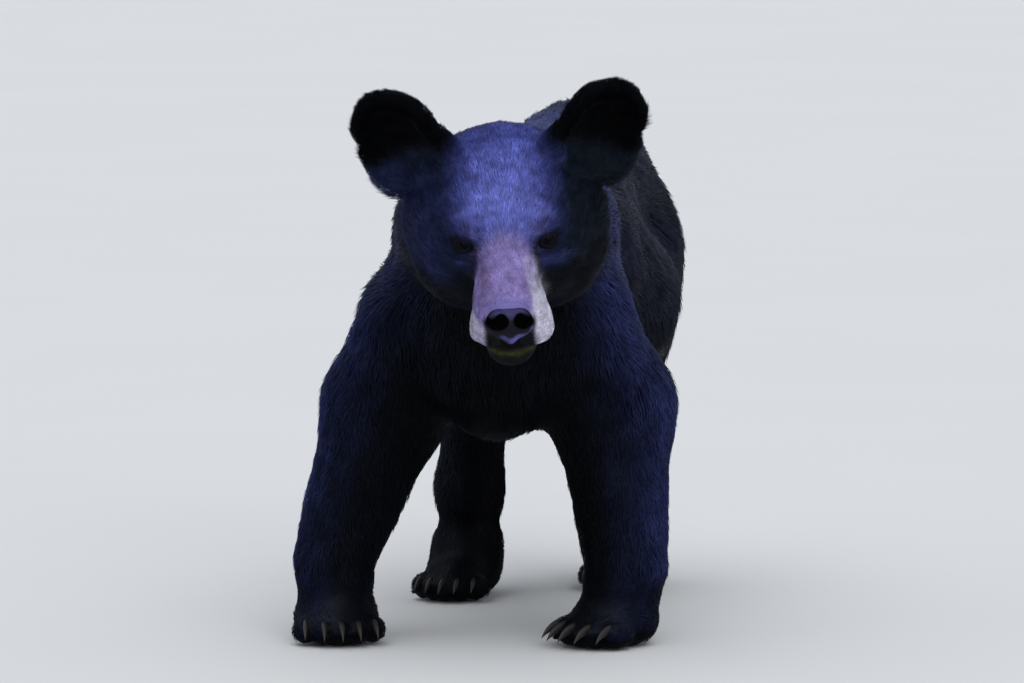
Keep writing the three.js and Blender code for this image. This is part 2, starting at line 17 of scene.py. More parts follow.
import bpy
import numpy as np
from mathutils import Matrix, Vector


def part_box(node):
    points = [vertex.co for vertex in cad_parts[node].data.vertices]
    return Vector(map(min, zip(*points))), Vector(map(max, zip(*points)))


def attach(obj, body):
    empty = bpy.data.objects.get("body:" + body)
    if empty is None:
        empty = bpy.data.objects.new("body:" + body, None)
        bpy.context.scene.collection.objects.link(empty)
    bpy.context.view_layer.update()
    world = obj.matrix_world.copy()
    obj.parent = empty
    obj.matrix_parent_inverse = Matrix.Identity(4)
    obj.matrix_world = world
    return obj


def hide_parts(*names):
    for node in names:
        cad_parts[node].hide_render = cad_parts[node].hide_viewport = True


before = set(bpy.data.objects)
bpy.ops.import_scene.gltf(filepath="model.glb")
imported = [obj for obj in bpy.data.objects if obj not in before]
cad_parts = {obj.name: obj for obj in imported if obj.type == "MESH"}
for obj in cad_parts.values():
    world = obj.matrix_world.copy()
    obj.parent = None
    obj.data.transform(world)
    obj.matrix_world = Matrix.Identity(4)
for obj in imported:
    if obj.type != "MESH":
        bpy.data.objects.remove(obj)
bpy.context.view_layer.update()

LOG = logging.getLogger("black_bear")
MM = 0.001
DOUBLE = 1e-5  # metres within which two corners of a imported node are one
OVERLAP = 0.0009  # metres by which a copied node swells into its neighbours
Rows = np.ndarray  # one point or direction a row, in millimetres
Field = Callable[[Rows], np.ndarray]  # the distance from a shape at each row, negative inside
Triple = tuple[float, float, float]
Rgba = tuple[float, float, float, float]
Tone = tuple[int, int, int]  # a colour as on a screen, 0 to 255
SIDES: dict[str, int] = {"left": 1, "right": -1}
BAKE_MAP = "OFBake"
MARK = "marking"  # the attribute that holds each vertex's colour, and its gloss as alpha

# ---------------------------------------------------------------- sizes


@dataclass(frozen=True)
class HeadSizes:
    """The head's place and main sizes, in millimetres and degrees."""

    origin: Triple = (104.0, -362.0, 570.0)
    yaw: float = 14.0
    pitch: float = 35.0
    roll: float = 3.8
    eye_spacing: float = 109.0
    eye_radius: float = 11.5
    ear_root: Triple = (97.0, -112.0, 40.0)
    ear_length: float = 148.0
    ear_widths: Triple = (47.0, 60.0, 75.0)  # halves: tip, middle, root
    nose: Triple = (0.0, 112.0, -43.0)


@dataclass(frozen=True)
class BodySizes:
    """The trunk's main heights, widths and places."""

    withers: float = 682.0
    croup: float = 700.0
    chest_floor: float = 276.0
    belly_floor: float = 290.0
    chest_half: float = 150.0
    belly_half: float = 176.0
    croup_half: float = 112.0
    sway: float = 24.0
    hip: float = 610.0
    rump: float = 800.0


@dataclass(frozen=True)
class PawSizes:
    """One kind of paw, in its own frame: y forward, z up, from the floor under the ankle."""

    reach: float
    half_width: float
    toe_radius: float
    heel: float
    claw_length: float
    claw_radius: float

    def toe(self, step: int) -> np.ndarray:
        """Returns the middle of a toe; steps run from -2 to 2 across the paw."""
        across = step / 2 * (self.half_width - self.toe_radius * 0.8)
        return np.array([across, self.reach - 5.5 * step * step, self.toe_radius + 2])


@dataclass(frozen=True)
class HairSizes:
    """One place's hair: its length, the spacing of its locks and the skin's depth under its tips."""

    length: float
    spacing: float
    depth: float


HAIR = {
    "body": HairSizes(30, 3.4, 8.5),
    "neck": HairSizes(28, 3.1, 8.0),
    "leg": HairSizes(19, 3.1, 5.5),
    "paw": HairSizes(11, 2.3, 2.4),
    "head": HairSizes(12, 1.9, 3.6),
    "muzzle": HairSizes(4.4, 1.25, 1.3),
    "ear": HairSizes(13, 1.9, 1.3),
    "tail": HairSizes(28, 3.0, 6.5),
}
RUFF = HairSizes(24, 2.6, 3.5)  # its depth comes on top of the head's
LASHES = HairSizes(4.0, 1.05, 0)
DEPTHS = {place: hair.depth for place, hair in HAIR.items()}
HEAD = HeadSizes()
BODY = BodySizes()
FOREPAW = PawSizes(88, 60, 18, 34, 40, 6.2)
HINDPAW = PawSizes(118, 52, 17, 42, 30, 5.6)

# ---------------------------------------------------------------- frames


def turn(axis: int, degrees: float) -> np.ndarray:
    """Returns the matrix that turns about an axis, 0 for x, 1 for y, 2 for z."""
    c, s = math.cos(math.radians(degrees)), math.sin(math.radians(degrees))
    m = np.eye(3)
    i, j = (axis + 1) % 3, (axis + 2) % 3
    m[i, i], m[i, j], m[j, i], m[j, j] = c, -s, s, c
    return m


def unit(v: Sequence[float]) -> np.ndarray:
    """Returns a vector at length one."""
    a = np.asarray(v, float)
    return a / np.linalg.norm(a)


def units(rows: Rows) -> Rows:
    """Returns each row at length one."""
    return rows / np.maximum(np.linalg.norm(rows, axis=1, keepdims=True), 1e-9)


def step(low: float, high: float, x: np.ndarray) -> np.ndarray:
    """Returns a smooth step from 0 at low to 1 at high, or the other way where low is the greater."""
    t = np.clip((x - low) / (high - low), 0, 1)
    return t * t * (3 - 2 * t)


class Seat:
    """A frame in the maker's millimetres: the columns of axes are its x, y and z."""

    def __init__(self, axes: np.ndarray, origin: Sequence[float]) -> None:
        """Keeps the axes and the origin."""
        self.axes, self.origin = axes, np.asarray(origin, float)

    def into(self, rows: Rows) -> Rows:
        """Returns points in this frame."""
        return (rows - self.origin) @ self.axes

    def out(self, rows: Rows) -> Rows:
        """Returns points of this frame in the maker's frame."""
        return np.asarray(rows, float) @ self.axes.T + self.origin

    def aim(self, rows: Rows) -> Rows:
        """Returns directions of this frame in the maker's frame."""
        return np.asarray(rows, float) @ self.axes.T

    def felt(self, rows: Rows) -> Rows:
        """Returns directions of the maker's frame in this frame."""
        return rows @ self.axes


HEAD_SEAT = Seat(
    turn(2, HEAD.yaw) @ turn(0, HEAD.pitch) @ turn(1, -HEAD.roll) @ np.diag([1.0, -1.0, 1.0]),
    HEAD.origin,
)


def ear_seat(side: int) -> Seat:
    """Returns the ear's frame: x across it outwards, y out of its opening, z towards its tip."""
    tip = unit(HEAD_SEAT.aim([side * 0.47, 0.08, 0.88]))
    opening = unit(HEAD_SEAT.aim([side * 0.22, 1, -0.3]))
    front = unit(opening - tip * (opening @ tip))
    x, y, z = HEAD.ear_root
    return Seat(np.column_stack([np.cross(tip, front) * side, front, tip]), HEAD_SEAT.out([side * x, y, z]))


def paw_seat(ankle: Sequence[float], toe_in: float, side: int) -> Seat:
    """Returns a paw's frame, on the floor under its ankle."""
    return Seat(turn(2, -side * toe_in) @ np.diag([1.0, -1.0, 1.0]), [ankle[0], ankle[1], 0])


EAR_SEATS = {name: ear_seat(side) for name, side in SIDES.items()}
EYES = {name: np.array([side * HEAD.eye_spacing / 2, 0.0, 0.0]) for name, side in SIDES.items()}


def maker_offset() -> np.ndarray:
    """Returns what takes the row's millimetres to the maker's frame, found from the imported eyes."""
    corners = [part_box(f"eye_{name}") for name in SIDES]
    middle = sum((np.array(low) + np.array(high) for low, high in corners), np.zeros(3)) / 4
    offset = np.array(HEAD.origin) - middle / MM
    offset[2] = 0.0  # both frames stand on the floor
    return offset


OFFSET = maker_offset()


def to_maker(metres: Rows) -> Rows:
    """Returns the row's metres as the maker's millimetres."""
    return np.asarray(metres, float) / MM + OFFSET


def to_row(rows: Rows) -> Rows:
    """Returns the maker's millimetres as the row's metres."""
    return (np.asarray(rows, float) - OFFSET) * MM


# ---------------------------------------------------------------- flesh


def lump(centre: Sequence[float], radii: Sequence[float]) -> Field:
    """Returns the distance-like field of an ellipsoid, negative inside."""
    c, r = np.asarray(centre, float), np.asarray(radii, float)

    def value(p: Rows) -> np.ndarray:
        q = (p - c) / r
        near = np.sqrt((q * q).sum(1))
        q = q / r
        return near * (near - 1) / np.maximum(np.sqrt((q * q).sum(1)), 1e-9)

    return value


def twins(centre: Triple, radii: Triple, middle: float = 0) -> list[Field]:
    """Returns an ellipsoid's fields on the left and on the right of a middle."""
    x, y, z = centre
    return [lump((middle + side * x, y, z), radii) for side in SIDES.values()]


def limb(a: Sequence[float], b: Sequence[float], ra: float, rb: float, flat: float = 1) -> Field:
    """Returns a limb segment's field: its radius goes from ra to rb, and it is wider by flat along y."""
    squeeze = np.array([1, 1 / flat, 1])
    start = np.asarray(a, float) * squeeze
    along = np.asarray(b, float) * squeeze - start
    reach = along @ along

    def value(p: Rows) -> np.ndarray:
        q = p * squeeze - start
        share = np.clip(q @ along / reach, 0, 1)
        return np.linalg.norm(q - share[:, None] * along, axis=1) - (ra + (rb - ra) * share)

    return value


def soft_min(a: np.ndarray, b: np.ndarray, blend: float) -> np.ndarray:
    """Returns the lesser of two fields, with a fillet where they meet."""
    share = np.maximum(blend - np.abs(a - b), 0) / blend
    return np.minimum(a, b) - share * share * blend / 4


def merged(blend: float, parts: Sequence[Field]) -> Field:
    """Returns the fields run together."""

    def value(p: Rows) -> np.ndarray:
        total = parts[0](p)
        for part in parts[1:]:
            total = soft_min(total, part(p), blend)
        return total

    return value


def hollowed(blend: float, body: Field, tools: Sequence[Field]) -> Field:
    """Returns a field with others pressed out of it."""

    def value(p: Rows) -> np.ndarray:
        total = body(p)
        for tool in tools:
            total = -soft_min(-total, tool(p), blend)
        return total

    return value


def seated(seat: Seat, low: Sequence[float], high: Sequence[float], part: Field) -> Field:
    """Returns a field that is given in a seat, worked out only inside a box there."""
    lo, hi = np.asarray(low, float), np.asarray(high, float)

    def value(p: Rows) -> np.ndarray:
        q = seat.into(p)
        here = ((q > lo) & (q < hi)).all(1)
        total = np.full(len(p), 400.0)
        if here.any():
            total[here] = part(q[here])
        return total

    return value


@dataclass
class Leg:
    """One leg: its joints, its paw and the paw's frame."""

    name: str
    side: int
    top: Triple
    middle: Triple
    ankle: Triple
    toe_in: float
    hind: bool

    @property
    def paw(self) -> PawSizes:
        """Returns the paw's sizes."""
        return HINDPAW if self.hind else FOREPAW

    @property
    def seat(self) -> Seat:
        """Returns the paw's frame."""
        return paw_seat(self.ankle, self.toe_in, self.side)

    def field(self) -> Field:
        """Returns the leg's field without its paw."""
        x, y, z = self.middle
        if self.hind:
            a = self.ankle
            return merged(40, [
                limb(self.top, self.middle, 74, 58, 1.6),
                limb(self.middle, a, 56, 42, 1.5),
                limb(a, (a[0], a[1] - 4, 70), 42, 41, 1.25),
            ])
        return merged(34, [
            limb(self.top, self.middle, 84, 84, 1.2),
            limb(self.middle, self.ankle, 83, 58, 1.12),
            limb(self.middle, (x, y + 26, z + 12), 50, 40),
        ])

    def paw_field(self) -> Field:
        """Returns the paw's field, with its five toes."""
        paw = self.paw
        middle, half = (paw.reach - paw.heel) / 2, (paw.reach + paw.heel) / 2
        sole = lump((0, middle, 30), (paw.half_width - 2, half + 4, 38))
        instep = lump((0, 12, 62), (47, 52, 44))
        toes = [lump(paw.toe(n), (paw.toe_radius, paw.toe_radius * 1.5, 20)) for n in range(-2, 3)]
        foot = merged(9, [merged(24, [sole, instep]), *toes])
        return seated(self.seat, (-150, -170, -60), (150, 230, 190), foot)


LEGS = [
    Leg("fore_left", 1, (BODY.sway + 96, -15, 440), (163, 42, 318), (192, 4, 112), 31, False),
    Leg("hind_left", 1, (66, BODY.hip, 480), (74, 540, 372), (72, 652, 150), 2, True),
    Leg("fore_right", -1, (BODY.sway - 112, -25, 432), (-140, 20, 318), (-202, -34, 112), 18, False),
    Leg("hind_right", -1, (-68, BODY.hip, 480), (-106, 448, 346), (-130, 492, 150), -4, True),
]


class Flesh:
    """The bear's flesh as one smooth field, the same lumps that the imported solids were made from."""

    def __init__(self) -> None:
        """Puts the field together."""
        body = merged(46, [self.trunk(), self.neck(), *(leg.field() for leg in LEGS)])
        tail = limb((0, BODY.rump - 36, 588), (-5, BODY.rump + 4, 498), 33, 21)
        self.value = merged(12, [
            merged(26, [merged(44, [body, self.head()]), tail, *(leg.paw_field() for leg in LEGS)]),
            *(self.ear(seat) for seat in EAR_SEATS.values()),
        ])

    @staticmethod
    def head() -> Field:
        """Returns the head's field: skull, muzzle, lips, jaw, brows and sockets."""
        skull = merged(30, [
            *twins((24, -108, 6), (82, 96, 62)),
            lump((0, -46, 1), (63, 64, 48)),
            *twins((60, -70, -36), (55, 74, 66)),
            *twins((42, -58, -80), (44, 70, 44)),
            *twins((76, -106, -50), (58, 62, 70)),
            *twins((62, -84, -100), (56, 58, 56)),
        ])
        muzzle = merged(18, [
            limb((0, -10, -10), (0, 102, -50), 37, 26),
            lump((0, 45, -49), (43, 74, 36)),
            *twins((28, 66, -70), (28, 50, 27)),
            *twins((38, 75, -82), (18, 26, 20)),
            limb((0, 78, -106), (0, -30, -106), 27, 38),
            lump((0, 66, -113), (33, 30, 24)),
        ])
        brows = twins((46, -18, 20), (25, 22, 14))
        sockets = twins((HEAD.eye_spacing / 2 + 3, 27, 6), (19, 16, 13))
        face = hollowed(12, merged(26, [skull, muzzle, *brows]), sockets)
        return seated(HEAD_SEAT, (-260, -420, -330), (260, 260, 260), face)

    @staticmethod
    def bowl() -> Field:
        """Returns the hollow of an ear in its own frame, deeper than the solid's."""
        length = HEAD.ear_length
        tip, middle, root = HEAD.ear_widths
        return merged(14, [
            lump((-9, 18, length - 46), (tip - 12, 24, 34)),
            lump((2, 18, length - 76), (middle - 12, 25, 43)),
            lump((6, 22, 46), (root - 26, 28, 42)),
        ])

    @classmethod
    def ear(cls, seat: Seat) -> Field:
        """Returns an ear's field, hollowed by its bowl."""
        length = HEAD.ear_length
        tip, middle, root = HEAD.ear_widths
        shell = merged(14, [
            lump((-10, 0, length - 41), (tip, 20, 44)),
            lump((2, 0, length - 70), (middle, 23, 52)),
            lump((8, -3, 20), (root, 30, 60)),
            lump((54, -6, -6), (32, 26, 44)),
        ])
        return seated(seat, (-130, -110, -100), (130, 110, 200), hollowed(10, shell, [cls.bowl()]))

    @staticmethod
    def trunk() -> Field:
        """Returns the trunk's field: ribs, belly, loins, withers, croup, breast, shoulders and haunches."""
        b = BODY
        top = b.withers - 8
        middle, half = (b.chest_floor + top) / 2, (top - b.chest_floor) / 2
        return merged(44, [
            lump((b.sway * 0.7, 200, middle), (b.chest_half, 310, half)),
            lump((b.sway * 0.4, 400, b.belly_floor + 136), (b.belly_half, 265, 136)),
            lump((b.sway * 0.4, 390, b.croup - 150), (112, 330, 132)),
            lump((b.sway, 40, b.withers - 124), (74, 150, 120)),
            lump((0, 590, b.croup - 156), (b.croup_half, 205, 148)),
            lump((b.sway, -35, 420), (112, 128, 146)),
            *twins((74, -50, 566), (76, 128, 92), b.sway + 14),
            *twins((92, 5, 470), (54, 112, 140), b.sway),
            *twins((74, b.hip + 20, 440), (68, 132, 150)),
        ])

    @staticmethod
    def neck() -> Field:
        """Returns the neck's field: nape, sides and throat."""
        return merged(30, [
            limb((BODY.sway, 10, 545), (78, -180, 572), 124, 108),
            limb((78, -180, 570), HEAD_SEAT.out([0, -112, -10]), 106, 80),
            limb((BODY.sway, -60, 475), HEAD_SEAT.out([0, -95, -66]), 108, 60),
        ])


# ---------------------------------------------------------------- regions


class Regions:
    """Where each point of the bear belongs, as smooth shares from 0 to 1."""

    def __init__(self, p: Rows) -> None:
        """Works the shares out for points in the maker's frame."""
        self.count = len(p)
        h = self.h = HEAD_SEAT.into(p)
        x, y, z = p.T
        self.head = step(-205, -140, h[:, 1]) * step(-200, -150, h[:, 2])
        self.muzzle = step(-6, 34, h[:, 1] - 0.25 * h[:, 2] - 8) * self.head
        self.ears: dict[str, np.ndarray] = {}
        self.cup = np.zeros(self.count)
        bowl = Flesh.bowl()
        for name, seat in EAR_SEATS.items():
            e = seat.into(p)
            near = step(100, 84, np.abs(e[:, 0] - 4)) * step(62, 46, np.abs(e[:, 1])) * (e[:, 2] < 185)
            self.ears[name] = step(18, 52, e[:, 2]) * near
            self.cup = np.maximum(self.cup, step(7.0, 2.5, bowl(e)) * self.ears[name])
        self.ear = np.maximum(self.ears["left"], self.ears["right"])
        self.face = self.head * (1 - self.ear)
        self.leg = step(400, 290, z) * (1 - self.head)
        self.paw = step(112, 78, z)
        tail = step(BODY.rump - 34, BODY.rump - 10, y) * step(602, 584, z)
        self.tail = tail * step(466, 488, z) * step(48, 36, np.abs(x))
        self.neck = step(30, -120, y - 0.25 * (z - 560)) * (1 - self.head) * step(380, 430, z)
        self.belly = step(400, 350, z) * step(235, 275, z) * step(60, 120, y) * step(560, 500, y)
        # Distance from the nearer eye and from the nose pad.
        self.eye = np.minimum(*(np.linalg.norm(h - c, axis=1) for c in EYES.values()))
        self.nose = lump(HEAD.nose, (31, 27, 25))(h)

    def mix(self, body: float, **own: float) -> np.ndarray:
        """Returns a value that changes smoothly from one region to the next.

        Args:
            body: the value on the body.
            own: the value of each other region, by its name.
        """
        value = np.full(self.count, float(body))
        for name in ("neck", "leg", "paw", "head", "muzzle", "ear", "tail"):
            value = value + getattr(self, name) * (own[name] - value)
        return value

    def ruff(self) -> np.ndarray:
        """Returns the share of the long hair behind and under the cheeks."""
        x, y, z = self.h.T
        behind = step(70, 112, np.abs(x) - 0.3 * np.minimum(z + 60, 0)) * step(-30, -90, y)
        return self.face * behind * step(24, -20, z)

    def depth(self) -> np.ndarray:
        """Returns how far the skin lies under the coat's tips."""
        x, _, z = self.h.T
        flews = self.muzzle * step(-46, -62, z) * step(26, 40, np.abs(x))
        deep = self.mix(**DEPTHS) + self.ruff() * RUFF.depth + flews * np.where(x < 0, 7.0, 2.6)
        return deep * (1 - 0.7 * step(30, 16, self.eye) * self.head)


# ---------------------------------------------------------------- meshes


def select_only(*objects: bpy.types.Object) -> None:
    """Selects these objects and makes the first the active one."""
    bpy.ops.object.select_all(action="DESELECT")
    for obj in objects:
        obj.select_set(True)
    bpy.context.view_layer.objects.active = objects[0]


def edit_whole(obj: bpy.types.Object, *acts: Callable[[], Any]) -> None:
    """Does things in Edit Mode to the whole of an object's mesh."""
    select_only(obj)
    bpy.ops.object.mode_set(mode="EDIT")
    bpy.ops.mesh.select_all(action="SELECT")
    for act in acts:
        act()
    bpy.ops.object.mode_set(mode="OBJECT")


def face_outwards(obj: bpy.types.Object) -> None:
    """Turns an object's faces outwards."""
    edit_whole(obj, lambda: bpy.ops.mesh.normals_make_consistent(inside=False))


def remesh(obj: bpy.types.Object, grain: float) -> None:
    """Fuses an object's shells into one even mesh.

    Args:
        obj: the object.
        grain: the size of a face, in millimetres.
    """
    select_only(obj)
    modifier = obj.modifiers.new("Remesh", "REMESH")
    modifier.mode, modifier.voxel_size, modifier.adaptivity = "VOXEL", grain * MM, 0.0
    bpy.ops.object.modifier_apply(modifier=modifier.name)


def settled(level: Field, p: Rows, rounds: int, reach: float, probe: float, flattest: float) -> Rows:
    """Moves points onto the surface where a field is zero.

    Args:
        level: the field.
        p: the points.
        rounds: how often each point is corrected.
        reach: the most that a point moves in a round.
        probe: how far off the slope is felt.
        flattest: the least squared slope that is divided by.
    Returns:
        The moved points.
    """
    p = p.copy()
    for _ in range(rounds):
        here = level(p)
        slope = np.column_stack([(level(p + probe * axis) - here) / probe for axis in np.eye(3)])
        move = np.clip(-here / np.maximum((slope * slope).sum(1), flattest), -reach, reach)
        p += slope * move[:, None]
    return p


def read(items: Any, key: str, width: int, kind: type = float) -> np.ndarray:
    """Returns what each item of a mesh's collection holds under a key, one item a row."""
    flat = np.empty(len(items) * width, dtype=kind)
    items.foreach_get(key, flat)
    return flat.reshape(-1, width)


def rows_of(obj: bpy.types.Object) -> Rows:
    """Returns an object's vertices in the maker's millimetres."""
    return to_maker(read(obj.data.vertices, "co", 3))


def set_rows(obj: bpy.types.Object, rows: Rows) -> None:
    """Puts an object's vertices at these places of the maker's frame."""
    obj.data.vertices.foreach_set("co", to_row(rows).ravel())
    obj.data.update()


def edges_of(obj: bpy.types.Object) -> np.ndarray:
    """Returns an object's edges as pairs of vertex numbers."""
    return read(obj.data.edges, "vertices", 2, np.int64)


def spread(values: np.ndarray, edges: np.ndarray, rounds: int, share: float = 0.5) -> np.ndarray:
    """Evens values out over a mesh, each towards the mean of its neighbours."""
    n = len(values)
    a, b = np.concatenate([edges[:, 0], edges[:, 1]]), np.concatenate([edges[:, 1], edges[:, 0]])
    count = np.maximum(np.bincount(a, minlength=n), 1)
    columns = values.reshape(n, -1).copy()
    for _ in range(rounds):
        for k in range(columns.shape[1]):
            mean = np.bincount(a, weights=columns[b, k], minlength=n) / count
            columns[:, k] += share * (mean - columns[:, k])
    return columns.reshape(values.shape)


def normals_of(obj: bpy.types.Object) -> Rows:
    """Returns an object's vertex normals."""
    return read(obj.data.vertex_normals, "vector", 3, np.float32).astype(float)


def new_object(name: str, vertices: Rows, faces: np.ndarray) -> bpy.types.Object:
    """Makes a smooth mesh object from rows of metres and rows of corner numbers of one length."""
    mesh = bpy.data.meshes.new(name)
    count, corners = faces.shape
    mesh.vertices.add(len(vertices))
    mesh.vertices.foreach_set("co", np.ascontiguousarray(vertices, dtype=np.float32).ravel())
    mesh.loops.add(count * corners)
    mesh.loops.foreach_set("vertex_index", np.ascontiguousarray(faces, dtype=np.int32).ravel())
    mesh.polygons.add(count)
    mesh.polygons.foreach_set("loop_start", np.arange(0, count * corners, corners, dtype=np.int32))
    mesh.polygons.foreach_set("use_smooth", np.ones(count, dtype=bool))
    mesh.update(calc_edges=True)
    obj = bpy.data.objects.new(name, mesh)
    bpy.context.collection.objects.link(obj)
    return obj


def copy_of(nodes: Iterable[str], name: str) -> bpy.types.Object:
    """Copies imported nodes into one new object, each swollen so that neighbours overlap."""
    copies = []
    for node in nodes:
        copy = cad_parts[node].copy()
        copy.data = copy.data.copy()
        copy.parent = None
        copy.matrix_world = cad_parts[node].matrix_world
        bpy.context.collection.objects.link(copy)
        edit_whole(
            copy,
            lambda: bpy.ops.mesh.remove_doubles(threshold=DOUBLE),
            lambda: bpy.ops.transform.shrink_fatten(value=OVERLAP),
        )
        copies.append(copy)
    select_only(*copies)
    bpy.ops.object.join()
    joined = bpy.context.view_layer.objects.active
    joined.name = joined.data.name = name
    bpy.ops.object.transform_apply(location=True, rotation=True, scale=True)
    joined.data.materials.clear()
    return joined


# ---------------------------------------------------------------- skin


@dataclass
class Lid:
    """One eye's opening in the skin, in directions from the eyeball's centre."""

    side: int
    half_width: float = 54.0
    upper: float = 33.0
    lower: float = 28.0

    @property
    def centre(self) -> np.ndarray:
        """Returns the eyeball's centre."""
        return EYES["left" if self.side > 0 else "right"]

    def axes(self) -> np.ndarray:
        """Returns the opening's own x (outwards), y (up) and z (out of the head) in the head's frame."""
        out = unit([self.side * 0.30, 0.82, 0.50])
        slant = np.array([self.side * 1.0, -0.30, 0.16])
        across = unit(slant - out * (out @ slant))
        up = np.cross(out, across) * self.side
        return np.column_stack([across, up, out])

    def edge(self, h: Rows) -> tuple[np.ndarray, np.ndarray, np.ndarray, np.ndarray]:
        """Tells where points lie about the opening.

        Args:
            h: points in the head's frame.
        Returns:
            How far each lies outside the edge, its direction from the eyeball's centre, its distance
            from there and its height in degrees.
        """
        away = h - self.centre
        far = np.linalg.norm(away, axis=1)
        d = (away / np.maximum(far, 1e-6)[:, None]) @ self.axes()
        across = np.degrees(np.arctan2(d[:, 0], d[:, 2]))
        up = np.degrees(np.arcsin(np.clip(d[:, 1], -1, 1)))
        tall = np.where(up > 0, self.upper, self.lower)
        reach = np.sqrt((np.abs(across) / self.half_width) ** 1.7 + (np.abs(up) / tall) ** 2 + 1e-9)
        outside = (reach - 1) * np.minimum(tall, self.half_width) * math.pi / 180 * HEAD.eye_radius
        outside = np.where(d[:, 2] < 0, np.maximum(outside, 14), outside) + 20 * step(17, 27, far)
        return outside, d, far, up


LIDS = {name: Lid(side) for name, side in SIDES.items()}


def mouth_line(h: Rows) -> tuple[np.ndarray, np.ndarray]:
    """Returns how far points are above the mouth's line, and how much of the mouth is there."""
    height = -93.0 + 0.05 * (h[:, 1] - 24)
    height = height - 5.0 * step(40, 10, h[:, 1])
    share = step(16, 36, h[:, 1]) * step(-140, -120, h[:, 2]) * step(-60, -70, h[:, 2])
    return h[:, 2] - height, share


@dataclass
class Skin:
    """The bear's skin: one piece for all of its flesh."""

    grain: float = 7.0
    flesh: Flesh = field(default_factory=Flesh)
    nodes: tuple[str, ...] = (
        "head", "lower_jaw", "ear_left", "ear_right", "neck", "trunk", "tail",
        "fore_left", "fore_right", "hind_left", "hind_right",
        "forepaw_left", "forepaw_right", "hindpaw_left", "hindpaw_right",
    )

    def level(self, p: Rows) -> np.ndarray:
        """Returns the field whose zero is the skin: the flesh, less the coat's depth."""
        return self.flesh.value(p) + Regions(p).depth()

    def settle(self, p: Rows, rounds: int, reach: float = 4.0) -> Rows:
        """Moves points of the maker's frame onto the skin's own surface."""
        return settled(self.level, p, rounds, reach, probe=0.4, flattest=0.2)

    @staticmethod
    def ground(p: Rows) -> Rows:
        """Sets the soles down flat on the floor."""
        p = p.copy()
        p[:, 2] = np.maximum(p[:, 2], 0.3)
        return p

    def refine(self, obj: bpy.types.Object, wanted: Callable[[Rows], np.ndarray]) -> None:
        """Splits the faces that lie where they are wanted finer, and settles the new points.

        Args:
            obj: the skin.
            wanted: tells which points, in the maker's frame, need a finer mesh.
        """
        mesh = obj.data
        near = wanted(rows_of(obj))
        chosen = np.array([near[list(face.vertices)].all() for face in mesh.polygons])
        select_only(obj)
        for items in (mesh.vertices, mesh.edges):
            items.foreach_set("select", np.zeros(len(items), dtype=bool))
        mesh.polygons.foreach_set("select", chosen)
        bpy.ops.object.mode_set(mode="EDIT")
        bpy.ops.mesh.select_mode(type="FACE")
        bpy.ops.mesh.subdivide(number_cuts=1, quadcorner="INNERVERT")
        bpy.ops.object.mode_set(mode="OBJECT")
        p = rows_of(obj)
        edges = edges_of(obj)
        mine = wanted(p)
        for _ in range(2):
            q = spread(p, edges, 1, 0.6)
            p[mine] = self.settle(q[mine], 1)
        p[mine] = self.settle(p[mine], 1)
        set_rows(obj, self.ground(p))
        LOG.info("skin refined to %d faces", len(mesh.polygons))

    def build(self) -> bpy.types.Object:
        """Makes the skin's mesh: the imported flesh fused, evened out, settled under the coat and folded."""
        obj = copy_of([*self.nodes, "nose", "eye_left", "eye_right"], "skin")
        remesh(obj, self.grain)
        edges = edges_of(obj)
        p = self.settle(rows_of(obj), 3, 6.0)
        for _ in range(4):
            p = self.settle(spread(p, edges, 2, 0.6), 1, 6.0)
        set_rows(obj, self.ground(self.settle(p, 1)))
        LOG.info("skin fused: %d faces", len(obj.data.polygons))
        self.refine(obj, lambda q: (Regions(q).head > 0.5) & (HEAD_SEAT.into(q)[:, 1] > -175))
        self.refine(obj, self.is_face)
        self.refine(obj, lambda q: np.minimum(*(lid.edge(HEAD_SEAT.into(q))[0] for lid in LIDS.values())) < 9)
        set_rows(obj, self.ground(self.fold_face(rows_of(obj))))
        select_only(obj)
        bpy.ops.object.shade_smooth()
        return obj

    @staticmethod
    def is_face(p: Rows) -> np.ndarray:
        """Tells which points are round the eyes, on the muzzle's end or at the mouth."""
        h = HEAD_SEAT.into(p)
        near_eye = Regions(p).eye < 34
        mouth = (h[:, 1] > 22) & (h[:, 2] < -62) & (h[:, 2] > -120)
        front = (h[:, 1] > 84) & (np.abs(h[:, 0]) < 60)
        return (near_eye | mouth | front) & (Regions(p).head > 0.5)

    def fold_face(self, p: Rows) -> Rows:
        """Presses the face's folds into the skin: lids, lips, and the groove under the nose."""
        h = HEAD_SEAT.into(p)
        here = Regions(p).head > 0.3
        q = h[here]
        ball, tucked = HEAD.eye_radius, 2.6
        for lid in LIDS.values():
            outside, d, far, up = lid.edge(q)
            rim = np.where(up > 0, 1.9, 1.5)
            wanted = ball + rim * step(-0.9, 0.5, outside)
            wanted = wanted + 0.9 * step(0.5, 2.6, outside) - 1.3 * step(3.0, 6.0, outside)
            inner = ball - tucked + (wanted - ball + tucked) * step(-1.8, -0.2, outside)
            wanted = np.where(outside < -0.2, inner, wanted)
            pull = step(9.5, 4.0, outside)
            reach = far + pull * (wanted - far)
            q = np.where((pull > 0)[:, None], lid.centre + (d @ lid.axes().T) * reach[:, None], q)
        above, share = mouth_line(q)
        out = units(np.column_stack([q[:, 0] * 1.2, np.maximum(q[:, 1] - 40, 0), np.zeros(len(q))]))
        groove, upper, lower = (
            height * np.exp(-((above - place) / breadth) ** 2)
            for height, place, breadth in ((-5.5, -0.5, 2.0), (2.4, 5.5, 4.0), (-2.2, -7.5, 5.0))
        )
        q = q + out * ((groove + upper + lower) * share)[:, None]
        front = step(92, 106, q[:, 1]) * step(-74, -80, q[:, 2]) * step(-99, -94, q[:, 2])
        q[:, 1] -= 3.0 * front * np.exp(-(q[:, 0] / 2.2) ** 2)
        h[here] = q
        return HEAD_SEAT.out(h)


# ---------------------------------------------------------------- finishes


